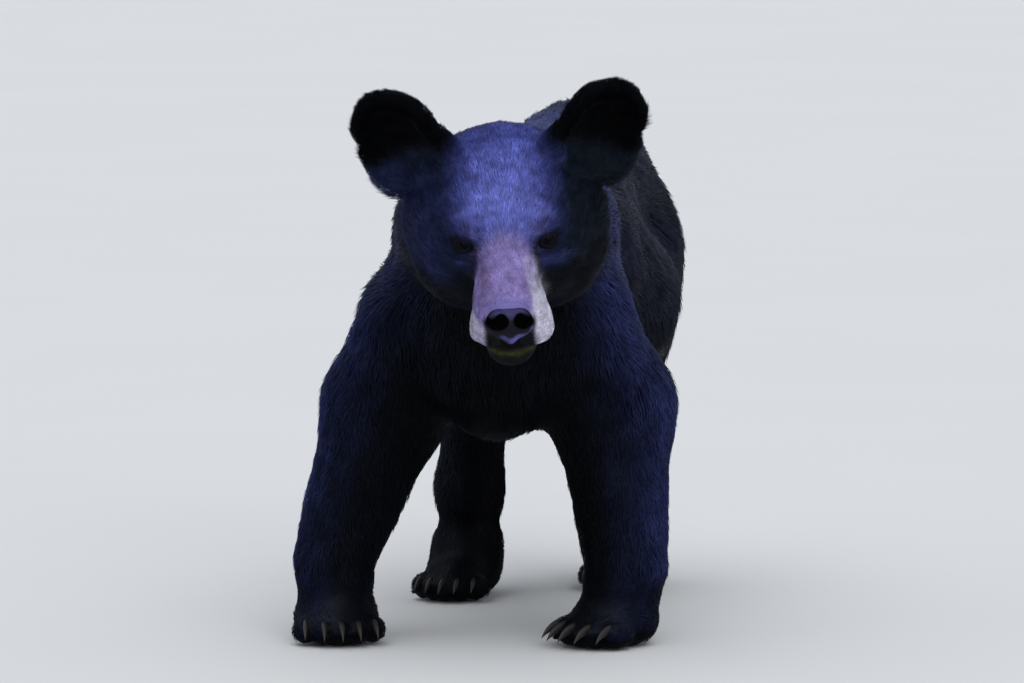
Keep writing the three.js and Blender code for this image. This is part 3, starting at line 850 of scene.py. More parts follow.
class Wire:
    """A value in a material's nodes, with arithmetic that adds Math nodes."""

    def __init__(self, bench: "Bench", socket: Any) -> None:
        """Wraps an output socket of the bench's material."""
        self.bench, self.socket = bench, socket

    def _math(self, operation: str, a: Any, b: Any, clamp: bool = False) -> "Wire":
        """Adds one Math node."""
        return self.bench.add("ShaderNodeMath", {"operation": operation, "use_clamp": clamp}, {0: a, 1: b})

    def __add__(self, other: Any) -> "Wire":
        """Returns the sum."""
        return self._math("ADD", self, other)

    def __radd__(self, other: Any) -> "Wire":
        """Returns the sum."""
        return self._math("ADD", other, self)

    def __sub__(self, other: Any) -> "Wire":
        """Returns the difference."""
        return self._math("SUBTRACT", self, other)

    def __rsub__(self, other: Any) -> "Wire":
        """Returns the difference from a number."""
        return self._math("SUBTRACT", other, self)

    def __mul__(self, other: Any) -> "Wire":
        """Returns the product."""
        return self._math("MULTIPLY", self, other)

    def clamped(self) -> "Wire":
        """Returns the value held between 0 and 1."""
        return self._math("ADD", self, 0.0, clamp=True)


class Bench:
    """One material being made: its node tree, its shader and the one method that adds nodes."""

    def __init__(self, name: str) -> None:
        """Starts a material with one Principled shader."""
        self.material = bpy.data.materials.new(name)
        self.material.use_nodes = True
        self.tree = self.material.node_tree
        self.shader = next(n for n in self.tree.nodes if n.type == "BSDF_PRINCIPLED")

    def add(
        self,
        kind: str,
        settings: Optional[dict[str, Any]] = None,
        inputs: Optional[dict[Any, Any]] = None,
        output: Any = 0,
    ) -> Wire:
        """Adds a node.

        Args:
            kind: the node's type.
            settings: its own settings, set first. A ramp's stops are given as "stops".
            inputs: values or wires for its sockets, by name or number.
            output: which output to return.
        Returns:
            The output, as a wire.
        """
        node = self.tree.nodes.new(kind)
        for key, value in (settings or {}).items():
            if key == "stops":
                ramp = node.color_ramp
                while len(ramp.elements) < len(value):
                    ramp.elements.new(0.5)
                for element, (place, colour) in zip(ramp.elements, value):
                    element.position, element.color = place, colour
            else:
                setattr(node, key, value)
        for key, value in (inputs or {}).items():
            if isinstance(value, Wire):
                self.tree.links.new(value.socket, node.inputs[key])
            else:
                node.inputs[key].default_value = value
        return Wire(self, node.outputs[output])

    def mix(self, share: Any, a: Any, b: Any) -> Wire:
        """Mixes two colours."""
        settings = {"data_type": "RGBA", "blend_type": "MIX", "clamp_factor": True}
        return self.add("ShaderNodeMix", settings, {0: share, 6: a, 7: b}, 2)

    def marking(self, output: str) -> Wire:
        """Returns the marking at each vertex: its Color, its Alpha or its grey as Fac."""
        return self.add("ShaderNodeAttribute", {"attribute_name": MARK}, output=output)

    def shaded(self, colour: Wire, shade: Wire) -> Wire:
        """Returns a colour made lighter or darker."""
        return self.add("ShaderNodeVectorMath", {"operation": "SCALE"}, {0: colour, "Scale": shade})

    def places(self, scale: Sequence[float] = (1, 1, 1)) -> Wire:
        """Returns Object coordinates, stretched."""
        spot = self.add("ShaderNodeTexCoord", output="Object")
        return self.add("ShaderNodeMapping", inputs={"Vector": spot, "Scale": scale})

    def noise(
        self, scale: float, detail: float = 3, spot: Optional[Wire] = None, rough: float = 0.55
    ) -> Wire:
        """Returns a noise value."""
        inputs = {"Vector": spot or self.places(), "Scale": scale, "Detail": detail, "Roughness": rough}
        return self.add("ShaderNodeTexNoise", inputs=inputs)

    def set(self, **values: Any) -> None:
        """Sets or links the shader's sockets; spaces in their names are written as underscores."""
        for key, value in values.items():
            socket = self.shader.inputs[key.replace("_", " ")]
            if isinstance(value, Wire):
                self.tree.links.new(value.socket, socket)
            else:
                socket.default_value = value

    def bump(self, height: Wire, strength: float, distance: float) -> Wire:
        """Returns the normal bent by a height."""
        inputs = {"Height": height, "Strength": strength, "Distance": distance}
        return self.add("ShaderNodeBump", inputs=inputs)


def tone(red: float, green: float, blue: float) -> np.ndarray:
    """Returns a linear colour from one given as on a screen, 0 to 255."""
    c = np.array([red, green, blue]) / 255
    return np.where(c <= 0.04045, c / 12.92, ((c + 0.055) / 1.055) ** 2.4)


@dataclass(frozen=True)
class CoatFinish:
    """The hair's finish: dull near black, with a faint violet shader sheen and a gloss where the markings
    say; the stronger violet-blue is painted sky sheen in the markings.
    """

    roughness: float = 0.55
    sheen: float = 0.02
    sheen_tint: Rgba = (0.40, 0.42, 1.0, 1.0)

    def dress(self, name: str, streaks: float) -> bpy.types.Material:
        """Makes the material.

        Args:
            name: the material's name.
            streaks: how strongly fine hairs show in the surface itself.
        """
        bench = Bench(name)
        marking, gloss = bench.marking("Color"), bench.marking("Alpha")
        along = bench.noise(140, 4, bench.places((9, 1.4, 5)))
        fine = bench.noise(900, 2)
        mottle = bench.noise(150, 3, rough=0.75)
        blotch = bench.noise(38, 3, rough=0.6)
        shade = (0.62 + along * 0.5 + fine * 0.26) * (0.6 + mottle * 0.8) * (0.78 + blotch * 0.44)
        tinted = bench.shaded(marking, shade)
        bench.set(Base_Color=tinted, Roughness=(self.roughness - 0.08 + along * 0.2).clamped())
        bench.set(Sheen_Weight=self.sheen, Sheen_Roughness=0.35, Sheen_Tint=self.sheen_tint)
        bench.set(Specular_IOR_Level=0.03, Coat_Weight=gloss.clamped(), Coat_Roughness=0.36)
        bench.set(Normal=bench.bump(along + fine * 0.4, streaks, 0.0012))
        return bench.material


@dataclass(frozen=True)
class LeatherFinish:
    """The nose pad's finish: dark damp leather, pebbled; the marking gives its colour."""

    def dress(self, name: str) -> bpy.types.Material:
        """Makes the material."""
        bench = Bench(name)
        sizes = {"Vector": bench.places(), "Scale": 480.0}
        cells = bench.add("ShaderNodeTexVoronoi", {"feature": "DISTANCE_TO_EDGE"}, sizes)
        pebbles = (cells * 5.0).clamped()
        mottle = bench.noise(130, 4)
        marking, damp = bench.marking("Color"), bench.marking("Alpha")
        bench.set(Base_Color=bench.shaded(marking, (0.45 + pebbles * 0.4) * (0.6 + mottle * 0.8)))
        bench.set(Roughness=(0.55 - pebbles * 0.14 + mottle * 0.1).clamped(), Specular_IOR_Level=0.0)
        bench.set(Coat_Weight=damp.clamped(), Coat_Roughness=0.4)
        bench.set(Normal=bench.bump(pebbles + mottle * 0.6, 0.35, 0.0006))
        return bench.material


@dataclass(frozen=True)
class HornFinish:
    """The claws' finish: dark brown horn, paler and rubbed towards the tip."""

    root: Rgba = (0.008, 0.006, 0.006, 1)
    rubbed: Rgba = (0.036, 0.030, 0.026, 1)

    def dress(self, name: str) -> bpy.types.Material:
        """Makes the material."""
        bench = Bench(name)
        rub = bench.marking("Fac")
        grain = bench.noise(700, 4, bench.places((1, 0.15, 0.3)))
        bench.set(Base_Color=bench.mix((rub * 0.8 + grain * 0.4 - 0.15).clamped(), self.root, self.rubbed))
        bench.set(Roughness=(0.34 + grain * 0.22).clamped(), Specular_IOR_Level=0.25)
        bench.set(Normal=bench.bump(grain, 0.3, 0.0004))
        return bench.material


@dataclass(frozen=True)
class EyeFinish:
    """The eyes' finish: a black pupil in a dark brown iris, under a clear wet front."""

    pupil: Rgba = (0.001, 0.001, 0.002, 1)
    iris: Rgba = (0.005, 0.004, 0.007, 1)
    outer: Rgba = (0.003, 0.003, 0.006, 1)
    rim: Rgba = (0.001, 0.001, 0.001, 1)
    white: Rgba = (0.004, 0.003, 0.005, 1)

    def dress(self, name: str) -> bpy.types.Material:
        """Makes the material; the marking runs from 0 at the pupil's middle to 1 at the back."""
        bench = Bench(name)
        out = bench.marking("Fac")
        fibres = bench.noise(900, 3)
        stops = [
            (0.0, self.pupil), (0.20, self.pupil), (0.24, self.iris),
            (0.37, self.outer), (0.43, self.rim), (0.54, self.white),
        ]
        rings = bench.add("ShaderNodeValToRGB", {"stops": stops}, {0: (out + (fibres - 0.5) * 0.03)})
        bench.set(Base_Color=rings, Roughness=0.3, Specular_IOR_Level=0.0)
        bench.set(Coat_Weight=0.09, Coat_Roughness=0.02, Coat_Tint=(0.6, 0.7, 1.0, 1))
        return bench.material


# ---------------------------------------------------------------- markings


@dataclass(frozen=True)
class Markings:
    """The coat's colours, with painted shade and painted sky sheen and highlights among them: the same for
    the skin and for the hair that grows on it.
    """

    jet: Tone = (15, 19, 37)
    # painted shade: near-black laid where shade falls, underneath, between the legs, on the breast, under the
    # head, low on the face and on the jaw
    painted_shade: Tone = (5, 6, 8)
    painted_sky_sheen: Tone = (38, 44, 84)  # painted sky sheen on the outer sides, where the sky catches the hair
    # back: painted sky sheen on hair that faces up
    back: Tone = (27, 33, 43)
    rear: Tone = (17, 20, 28)
    # nape: painted violet-blue sky sheen along the top of the back
    nape: Tone = (59, 67, 128)
    ruff: Tone = (36, 42, 82)
    cheek: Tone = (20, 27, 37)
    # crown: painted violet-blue sky sheen on the forehead and round the eyes
    crown: Tone = (60, 66, 130)
    # brow: painted violet-blue highlight on the brows
    brow_highlight: Tone = (97, 103, 180)
    # ear: the ears' near-black, also laid as painted shade round the eyes
    ear: Tone = (7, 8, 12)
    cup: Tone = (3, 4, 6)
    # bridge: the muzzle's brown, with painted violet sky sheen on its top
    bridge: Tone = (130, 116, 172)
    flush: Tone = (118, 92, 128)
    cream: Tone = (203, 199, 216)
    mauve: Tone = (66, 58, 98)
    # sheen: painted highlight over the nose and on the lower lids
    sheen: Tone = (96, 92, 150)
    lip: Tone = (13, 12, 19)
    chin: Tone = (10, 13, 10)
    moss: Tone = (76, 82, 46)
    # under: painted bluish sky sheen and highlight below and beside the eyes
    under: Tone = (50, 57, 98)

    def colours(self, p: Rows, normals: Rows) -> Rows:
        """Returns the linear colour at each point.

        Args:
            p: points in the maker's frame.
            normals: the skin's normals there.
        """
        r = Regions(p)
        x, y, z = r.h.T
        side = np.abs(x)
        up = np.clip(normals[:, 2], -1, 1)
        colour = np.tile(tone(*self.jet), (len(p), 1))

        def lay(share: np.ndarray, tint: Tone) -> None:
            """Lays a tint over the colour."""
            colour[:] = colour + np.clip(share, 0, 1)[:, None] * (tone(*tint) - colour)

        def spot(centre: Sequence[float], radii: Sequence[float]) -> np.ndarray:
            """Returns a soft round share about a place in the head's frame."""
            return np.exp(-(((r.h - np.array(centre)) / np.array(radii)) ** 2).sum(1))

        # Body: painted shade between the legs, underneath, on the breast and under the head; painted sky
        # sheen on the outer sides, the back, the top of the back and the neck's left side.
        face, body = r.face, 1 - r.head
        _, py, pz = p.T
        aside = p[:, 0] - BODY.sway
        outwards = normals[:, 0] * np.sign(aside)
        # fore and near: where the painted sky sheen lies, strongest at the front and on sides turned outwards
        fore = step(170, 20, py) * step(600, 520, pz)
        near = 0.35 * step(0.3, 0.8, outwards) + 0.65 * step(0.7, 1.0, outwards)
        # breast: the front of the chest, where painted shade goes
        breast = step(170, 50, np.abs(aside - 20)) * step(40, 0, py) * step(580, 460, pz)
        # ridge: the top of the back that faces up, where the painted sky sheen lies
        ridge = step(-0.1, 1.0, up) * step(590, 680, pz) * step(620, 380, py)
        # reach: nearness to the underside of the head, for the painted shade under it
        reach = np.sqrt((((r.h - np.array((0, -60, -25))) / np.array((150, 120, 110))) ** 2).sum(1))
        for share, tint in (
            (step(120, 320, py) * body, self.rear),
            # painted sky sheen on the outer sides
            (near * (0.08 + 0.92 * fore) * step(60, 150, pz) * body, self.painted_sky_sheen),
            # painted sky sheen on hair that faces up
            (step(0.2, 0.95, up) * body * (1 - r.paw), self.back),
            # painted shade on hair that faces down
            (step(0.1, -0.7, up) * body, self.painted_shade),
            # painted shade on sides turned inwards, between the legs
            (step(0.25, -0.35, outwards) * step(520, 420, pz) * body * 0.8, self.painted_shade),
            # painted shade on the front of the chest
            (breast * body * 0.8, self.painted_shade),
            # painted violet-blue sky sheen along the top of the back
            (body * ridge * 0.58, self.nape),
            # painted sky sheen on the neck's left side
            (r.neck * step(0.3, 0.9, normals[:, 0]) * step(470, 560, pz), self.ruff),
            # painted shade on the body under the head
            (body * step(1.35, 0.95, reach) * step(-10, -45, z) * 0.75, self.painted_shade),
        ):
            lay(share, tint)
        # Head: near-black cheeks and ears, and a forehead between them in painted violet-blue sky sheen;
        # painted shade on the lower face and where it turns away, and painted sky sheen on its right side.
        facing = HEAD_SEAT.felt(normals)[:, 1]
        # lower: where the painted shade of the turned-away face lies, higher up on the right side
        lower = np.where(x < 0, step(60, 0, z), step(20, -40, z))
        # forehead and brow: where the painted sky sheen and the painted brow highlight lie
        forehead = face * step(-36, 16, z) * step(-200, -130, y) * step(30, 8, y) * step(92, 30, side)
        brow_highlight = 0.5 * step(-120, -60, y) + 0.6 * step(-70, -10, y)
        for share, tint in (
            (face, self.cheek),
            # painted shade low on the face
            (face * step(-30, -80, z) * 0.7, self.painted_shade),
            # painted shade where the face turns away from the front
            (face * step(0.5, 0.0, facing) * lower * 0.8, self.painted_shade),
            # painted sky sheen on the face's right side
            (face * step(-52, -92, x) * step(-100, -60, z) * step(70, 20, z) * 0.7, self.ruff),
            # painted violet-blue sky sheen on the forehead
            (forehead, self.crown),
            # painted highlight on the brows
            (forehead * brow_highlight * step(74, 14, side), self.brow_highlight),
            (r.ear, self.ear),
            (r.cup, self.cup),
        ):
            lay(share, tint)
        # Round the eyes, painted light: painted shade in the sockets, on the nose's side of them and in the
        # fold under the brows, painted highlights on the brows and the lower lids, and painted bluish sky
        # sheen below and between the eyes; the right side, away from the light, gets them dimmer.
        for s in SIDES.values():
            lit = s > 0
            lit_side_strength = 1.0 if lit else 0.55
            for centre, radii, share, tint in (
                # painted bluish sky sheen below the eye
                ((56, 4, -31), (21, 16, 11), 1.0 if lit else 0.35, self.under),
                # painted highlight beside the outer corner
                ((70, 6, 4), (8, 12, 16), lit_side_strength * 0.5, self.under),
                # painted highlight above the inner corner
                ((43, 5, 22), (11, 9, 7), 0.6, self.mauve),
                # painted sky sheen between the eyes
                ((27, 8, 22), (5, 8, 10), 0.5, self.crown),
                # painted shade in the socket
                ((55 if lit else 61, 9, 1), (25 if lit else 31, 22, 16), 1.0, self.ear),
                # painted shade on the nose's side of the eye
                ((37, 14, -7), (9, 14, 16), 0.9, self.ear),
                ((39, 8, 18), (4, 5, 4), lit_side_strength * 0.4, self.flush),
                # painted highlight on the lower lid
                ((44, 9, -9), (5, 7, 4), lit_side_strength * 0.45, self.sheen),
                # painted sky sheen below the eye
                ((53, 4, -33), (10, 12, 8), lit_side_strength * 0.6, self.crown),
                # painted highlight along the brow
                ((49, -7, 36), (19, 11, 6.5), lit_side_strength, self.brow_highlight),
                # painted shade in the fold under the brow
                ((51, -1, 27), (10, 7, 4), 0.6, self.ear),
            ):
                lay(face * spot((s * centre[0], *centre[1:]), radii) * share, tint)
        # Muzzle: a brown bridge with painted violet sky sheen on it, between paler sides that widen down to
        # the lips; painted sheen over the nose and painted shade on the jaw where it turns away.
        low = np.clip(-18 - (-0.65 * y + 0.76 * z), 0, 90)  # how far down a place looks from the front
        top = r.head * step(4, 26, y) * step(-96, -88, z)
        middle = step(-49, -40, x + 0.02 * low) * step(41, 31, x - 0.06 * low)
        stripe = top * step(15, 23, x - 0.21 * low) * step(3, 14, low + 0.2 * y)
        stripe = stripe * step(42, 33, x - 0.40 * np.minimum(low, 40))
        pad = r.head * step(25, 33, side) * step(58, 74, y + 0.2 * low) * step(-26, -42, z)
        pad = pad * step(122, 112, y) * np.where(x < 0, step(-46, -58, z) * 0.6, 0.9) * step(-104, -98, z)
        above, mouth = mouth_line(r.h)
        seam = np.exp(-((above + 0.5) / 3.4) ** 2)
        jaw = r.head * step(6, 30, y) * step(-97, -101, z)
        damp = step(64, 82, y) * np.exp(-((z + 102) / 3.6) ** 2) * step(40, 30, side)
        edge = step(70, 82, y) * step(-54, -62, z) * step(36, 28, side) * step(-106, -99, z)
        for share, tint in (
            # the bridge, brown with painted violet sky sheen
            (top * middle * step(-4, 20, y - 0.25 * side), self.bridge),
            (top * middle * spot((-26, 52, -20), (9, 26, 14)) * 0.7, self.flush),
            (top * middle * spot((18, 62, -12), (7, 22, 10)) * 0.4, self.flush),
            (stripe * (0.3 + 0.5 * step(10, 60, low)), self.cream),
            (pad, self.cream),
            (top * step(9, 1, r.nose) * step(-36, -46, z), self.lip),
            # painted sheen over the nose
            (top * step(9, 1, r.nose) * step(-42, -30, z) * 0.6, self.sheen),
            (mouth * r.head * seam, self.lip),
            (r.head * edge, self.lip),
            (jaw, self.chin),
            # painted shade on the jaw where it turns away from the front
            (jaw * step(0.8, 0.4, facing) * 0.8, self.painted_shade),
            (r.head * damp * 0.6, self.moss),
        ):
            lay(share, tint)
        # Dark rims round the eyes.
        for lid in LIDS.values():
            outside = lid.edge(r.h)[0]
            lay(r.head * step(7, 1.5, outside) * 0.7, self.ear)
            lay(r.head * step(2.2, 0.6, outside), self.lip)
        return colour

    @staticmethod
    def gloss(p: Rows, normals: Rows) -> np.ndarray:
        """Returns how much the coat shines at each point, from 0 to 1."""
        r = Regions(p)
        x, _, z = r.h.T
        forehead = r.face * step(-30, 20, z) * step(90, 40, np.abs(x))
        back = step(0.1, 0.9, normals[:, 2]) * (1 - r.head)
        shine = 0.03 + 0.16 * back + 0.06 * forehead + 0.06 * r.muzzle
        return np.clip(shine * (1 - r.ear) * (1 - r.cup), 0, 1)


def paint(obj: bpy.types.Object, colours: Rows, gloss: Union[float, np.ndarray] = 1.0) -> None:
    """Stores a colour for each vertex, and how glossy it is as the colour's alpha."""
    layer = obj.data.color_attributes.new(MARK, "FLOAT_COLOR", "POINT")
    rgba = np.ones((len(colours), 4), dtype=np.float32)
    rgba[:, :3] = colours
    rgba[:, 3] = gloss
    layer.data.foreach_set("color", rgba.ravel())


# ---------------------------------------------------------------- eyes, nose and claws


@dataclass
class Eye:
    """One eyeball, with its clear front bulging a little."""

    name: str
    side: int
    bulge: float = 1.0
    segments: int = 56
    rings: int = 36

    def build(self) -> bpy.types.Object:
        """Makes the ball, its pole looking where the bear looks."""
        bpy.ops.object.select_all(action="DESELECT")
        bpy.ops.mesh.primitive_uv_sphere_add(
            segments=self.segments, ring_count=self.rings, radius=HEAD.eye_radius
        )
        obj = bpy.context.view_layer.objects.active
        obj.name = obj.data.name = f"eyeball_{self.name}"
        q = np.array([v.co for v in obj.data.vertices])
        angle = np.degrees(np.arccos(np.clip(q[:, 2] / HEAD.eye_radius, -1, 1)))
        q *= (1 + self.bulge / HEAD.eye_radius * step(38, 8, angle))[:, None]
        gaze = unit([self.side * 0.13, 0.80, 0.58])
        across = unit(np.cross([0.0, 0.0, 1.0], gaze))
        axes = np.column_stack([across, np.cross(gaze, across), gaze])
        set_rows(obj, HEAD_SEAT.out(q @ axes.T + EYES[self.name]))
        face_outwards(obj)
        bpy.ops.object.shade_smooth()
        paint(obj, np.repeat(np.clip(angle / 90, 0, 1)[:, None], 3, axis=1))
        obj.data.materials.append(EYE_MATERIAL)
        return obj


@dataclass
class NosePad:
    """The nose pad: its wings, nostrils, the raised rim under them and the groove to the lip."""

    grain: float = 1.5
    rounds: int = 14
    hide: Tone = (22, 21, 30)
    # lit: painted highlight, the sky's violet-blue on the pad's top and on the rim
    lit: Tone = (104, 100, 172)
    # painted shade in the nostrils and slits
    nostril_shade: Tone = (5, 4, 6)
    fold: Tone = (26, 25, 30)

    @staticmethod
    def nostrils(near: Sequence[float], far: Sequence[float]) -> list[Field]:
        """Returns both nostrils' fields, of these radii at their mouths and at their ends."""
        sides = SIDES.values()
        return [
            *(limb((3 + s * 12.5, 150, -17), (2 + s * 13, 106, -38), near[0], far[0]) for s in sides),
            *(limb((3 + s * 16, 150, -22), (2 + s * 17, 112, -37), near[1], far[1]) for s in sides),
        ]

    @staticmethod
    def slits(near: float, far: float) -> list[Field]:
        """Returns the fields of the slits that run outwards from the nostrils."""
        return [limb((3 + s * 20, 136, -30), (1 + s * 32, 113, -34), near, far) for s in SIDES.values()]

    @classmethod
    def value(cls, h: Rows) -> np.ndarray:
        """Returns the pad's field in the head's frame."""
        x, y, z = HEAD.nose
        sides = SIDES.values()
        pad = merged(6, [
            lump((x, y, z), (27, 22, 21)),
            *(lump((s * 16, y + 3, z + 3), (15, 18, 17)) for s in sides),
            *(limb((s * 24, 118, -42), (0, 132, -52), 5.5, 6.5) for s in sides),
            lump((0, 122, -64), (13, 9, 13)),
        ])
        holes = [
            *cls.nostrils((8.6, 7.4), (6.5, 5.5)),
            *cls.slits(5.2, 3.0),
            limb((1, 141, -66), (0, 134, -88), 1.8, 2.6),
            limb((2, 130, -26), (2, 141, -46), 1.4, 1.2),
        ]
        return hollowed(3.0, pad, holes)(h)

    def build(self) -> bpy.types.Object:
        """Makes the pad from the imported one, remeshed finely and settled on its own field."""
        obj = copy_of(["nose"], "nose_pad")
        remesh(obj, self.grain)
        edges = edges_of(obj)
        h = HEAD_SEAT.into(rows_of(obj))
        for _ in range(self.rounds):
            h = settled(self.value, spread(h, edges, 1, 0.5), 2, reach=1.2, probe=0.2, flattest=0.3)
        set_rows(obj, HEAD_SEAT.out(h))
        hole = merged(2, self.nostrils((9.6, 8.4), (8.5, 6.5)))(h)
        slit = merged(2, self.slits(6.2, 4.0))(h)
        rim = merged(2, [limb((2 + s * 23, 122, -43), (2, 138, -52), 3.4, 1.7) for s in SIDES.values()])(h)
        opening, under = np.minimum(hole, slit), step(-55, -60, h[:, 2])
        colours = np.tile(tone(*self.hide), (len(h), 1))
        # Painted highlight on the top and the rim, painted shade in the openings, the fold's colour below.
        for share, target in (
            (step(-28, -22, h[:, 2]) * step(136, 124, h[:, 1]) * 0.3, self.lit),
            (step(3.6, 0.5, rim), self.lit),
            (step(1.0, -0.4, opening), self.nostril_shade),
            (under, self.fold),
        ):
            colours += share[:, None] * (tone(*target) - colours)
        dull = np.maximum(step(3.0, 0.4, opening), under)
        paint(obj, colours, 0.22 * (1 - dull))
        select_only(obj)
        bpy.ops.object.shade_smooth()
        obj.data.materials.append(NOSE_MATERIAL)
        return obj


@dataclass
class Claws:
    """The twenty claws: one shape for each kind of paw, drawn out ring by ring and copied."""

    rings: int = 9
    around: int = 14
    bend: float = 0.9  # radians from root to tip
    curve: float = 1.25  # how much longer its back is than its belly
    thin: float = 0.78
    blunt: float = 0.03
    fan: float = -0.05  # radians between neighbours

    def pattern(self, paw: PawSizes, name: str) -> bpy.types.Object:
        """Makes one straight claw along +Y, by extruding a circle and narrowing it."""
        bpy.ops.object.select_all(action="DESELECT")
        bpy.ops.mesh.primitive_circle_add(
            vertices=self.around, radius=paw.claw_radius, fill_type="NGON", rotation=(math.radians(90), 0, 0)
        )
        obj = bpy.context.view_layer.objects.active
        obj.name = name
        bpy.ops.object.transform_apply(location=True, rotation=True, scale=True)
        bpy.ops.object.mode_set(mode="EDIT")
        bpy.ops.mesh.select_all(action="SELECT")
        gone, width = 0.0, 1.0
        for ring in range(1, self.rings + 1):
            share = ring / self.rings
            there = paw.claw_length * share
            goal = max((1 - share ** 1.35) ** 0.9, self.blunt)
            bpy.ops.mesh.extrude_region_move(TRANSFORM_OT_translate={"value": (0, there - gone, 0)})
            scale = goal / width
            bpy.ops.transform.resize(value=(scale, 1, scale), center_override=(0, there, 0))
            gone, width = there, goal
        bpy.ops.object.mode_set(mode="OBJECT")
        face_outwards(obj)
        return obj

    def bent(self, q: Rows, length: float) -> Rows:
        """Bends a straight claw down over an arc, and flattens its sides."""
        arc = length / self.bend
        angle = self.bend * q[:, 1] / length
        out = arc + q[:, 2] * self.curve
        return np.column_stack([q[:, 0] * self.thin, np.sin(angle) * out, np.cos(angle) * out - arc])

    def build(self) -> list[tuple[bpy.types.Object, str]]:
        """Makes every claw and returns each with the node that it stands for."""
        made = []
        patterns = {
            hind: self.pattern(paw, f"claw_pattern_{hind}")
            for hind, paw in ((False, FOREPAW), (True, HINDPAW))
        }
        for leg in LEGS:
            base = patterns[leg.hind]
            straight = np.array([v.co for v in base.data.vertices])
            bent = self.bent(straight, leg.paw.claw_length)
            for n, toe in enumerate(range(-2, 3)):
                obj = bpy.data.objects.new(f"horn_{leg.name}_{n + 1}", base.data.copy())
                bpy.context.collection.objects.link(obj)
                root = leg.paw.toe(toe) + np.array([0, leg.paw.toe_radius * 0.8, 9])
                set_rows(obj, leg.seat.out(bent @ turn(2, math.degrees(self.fan * toe)).T + root))
                face_outwards(obj)
                bpy.ops.object.shade_smooth()
                along = np.clip(straight[:, 1] / leg.paw.claw_length, 0, 1)
                paint(obj, np.repeat(along[:, None], 3, axis=1))
                obj.data.materials.append(HORN_MATERIAL)
                made.append((obj, f"claw_{leg.name}_{n + 1}"))
        for base in patterns.values():
            bpy.data.objects.remove(base)
        return made


# ---------------------------------------------------------------- coat


class Plot(Enum):
    """The coat's pieces, by the part of the body that each grows on."""

    FACE = "face"
    CROWN = "crown"
    EARS = "ears"
    NECK = "neck"
    CHEST = "chest"
    BACK = "back"
    LOINS = "loins"
    RUMP = "rump"
    FORELEGS = "forelegs"
    HINDLEGS = "hindlegs"
    PAWS = "paws"


@dataclass(frozen=True)
class LockShape:
    """One lock of hair: five points, which are root, left, ridge, right and tip, and six faces."""

    sunk: float = 0.5  # millimetres that its root lies under the skin
    waist: float = 0.42  # where along it is widest
    arch: float = 0.78  # how much of its height it has there
    keel: float = 0.34  # how high its ridge stands, in widths
    lean: float = 0.44  # how far the normals of its sides lean outwards
    lowest: tuple[float, ...] = (0.2, 0.3, 0.9, 0.3, 0.5)  # each point's least height over the floor
    fade: tuple[float, ...] = (0.55, 0.95, 1.0, 0.95, 1.22)  # how bright each point is
    faces: tuple[tuple[int, int, int], ...] = (
        (0, 1, 2), (0, 2, 3), (0, 3, 1), (4, 2, 1), (4, 3, 2), (4, 1, 3)
    )
    patch: float = 0.003  # its size on the unwrap
    chart: tuple[tuple[float, float], ...] = ((0, -0.5), (-0.5, 0), (0, 0), (0.5, 0), (0, 0.5))

    def points(
        self, root: Rows, up: Rows, run: Rows, size: np.ndarray, wide: np.ndarray, rise: np.ndarray
    ) -> np.ndarray:
        """Returns the five points of each lock.

        Args:
            root: where each is rooted.
            up: the way out of the skin there.
            run: the way that it lies.
            size: its length.
            wide: its width.
            rise: its tip's height over the skin.
        """
        base = root - up * self.sunk
        middle = root + run * (size * self.waist)[:, None] + up * (rise * self.arch)[:, None]
        tip = root + run * size[:, None] + up * rise[:, None]
        half = np.cross(up, run) * (wide / 2)[:, None]
        ridge = middle + up * (wide * self.keel)[:, None]
        points = np.stack([base, middle - half, ridge, middle + half, tip], axis=1)
        points[..., 2] = np.maximum(points[..., 2], np.array(self.lowest))
        return points

    def normals(self, up: Rows, run: Rows) -> np.ndarray:
        """Returns the normal at each lock's points."""
        across = np.cross(up, run)
        left, right = (units(0.9 * up + s * self.lean * across) for s in (-1, 1))
        return np.stack([up, left, up, right, units(up + 0.25 * run)], axis=1)


@dataclass(frozen=True)
class Roots:
    """Where the locks are rooted: a triangle of the skin for each, and a place in it."""

    weight: np.ndarray
    corners: np.ndarray
    loops: np.ndarray

    def at(self, values: np.ndarray) -> np.ndarray:
        """Returns a value of the skin's points at each root."""
        return np.einsum("nk,nk...->n...", self.weight, values[self.corners])

    def on_map(self, uv: np.ndarray) -> np.ndarray:
        """Returns each root's place on the skin's unwrap."""
        return np.einsum("nk,nkc->nc", self.weight, uv[self.loops])


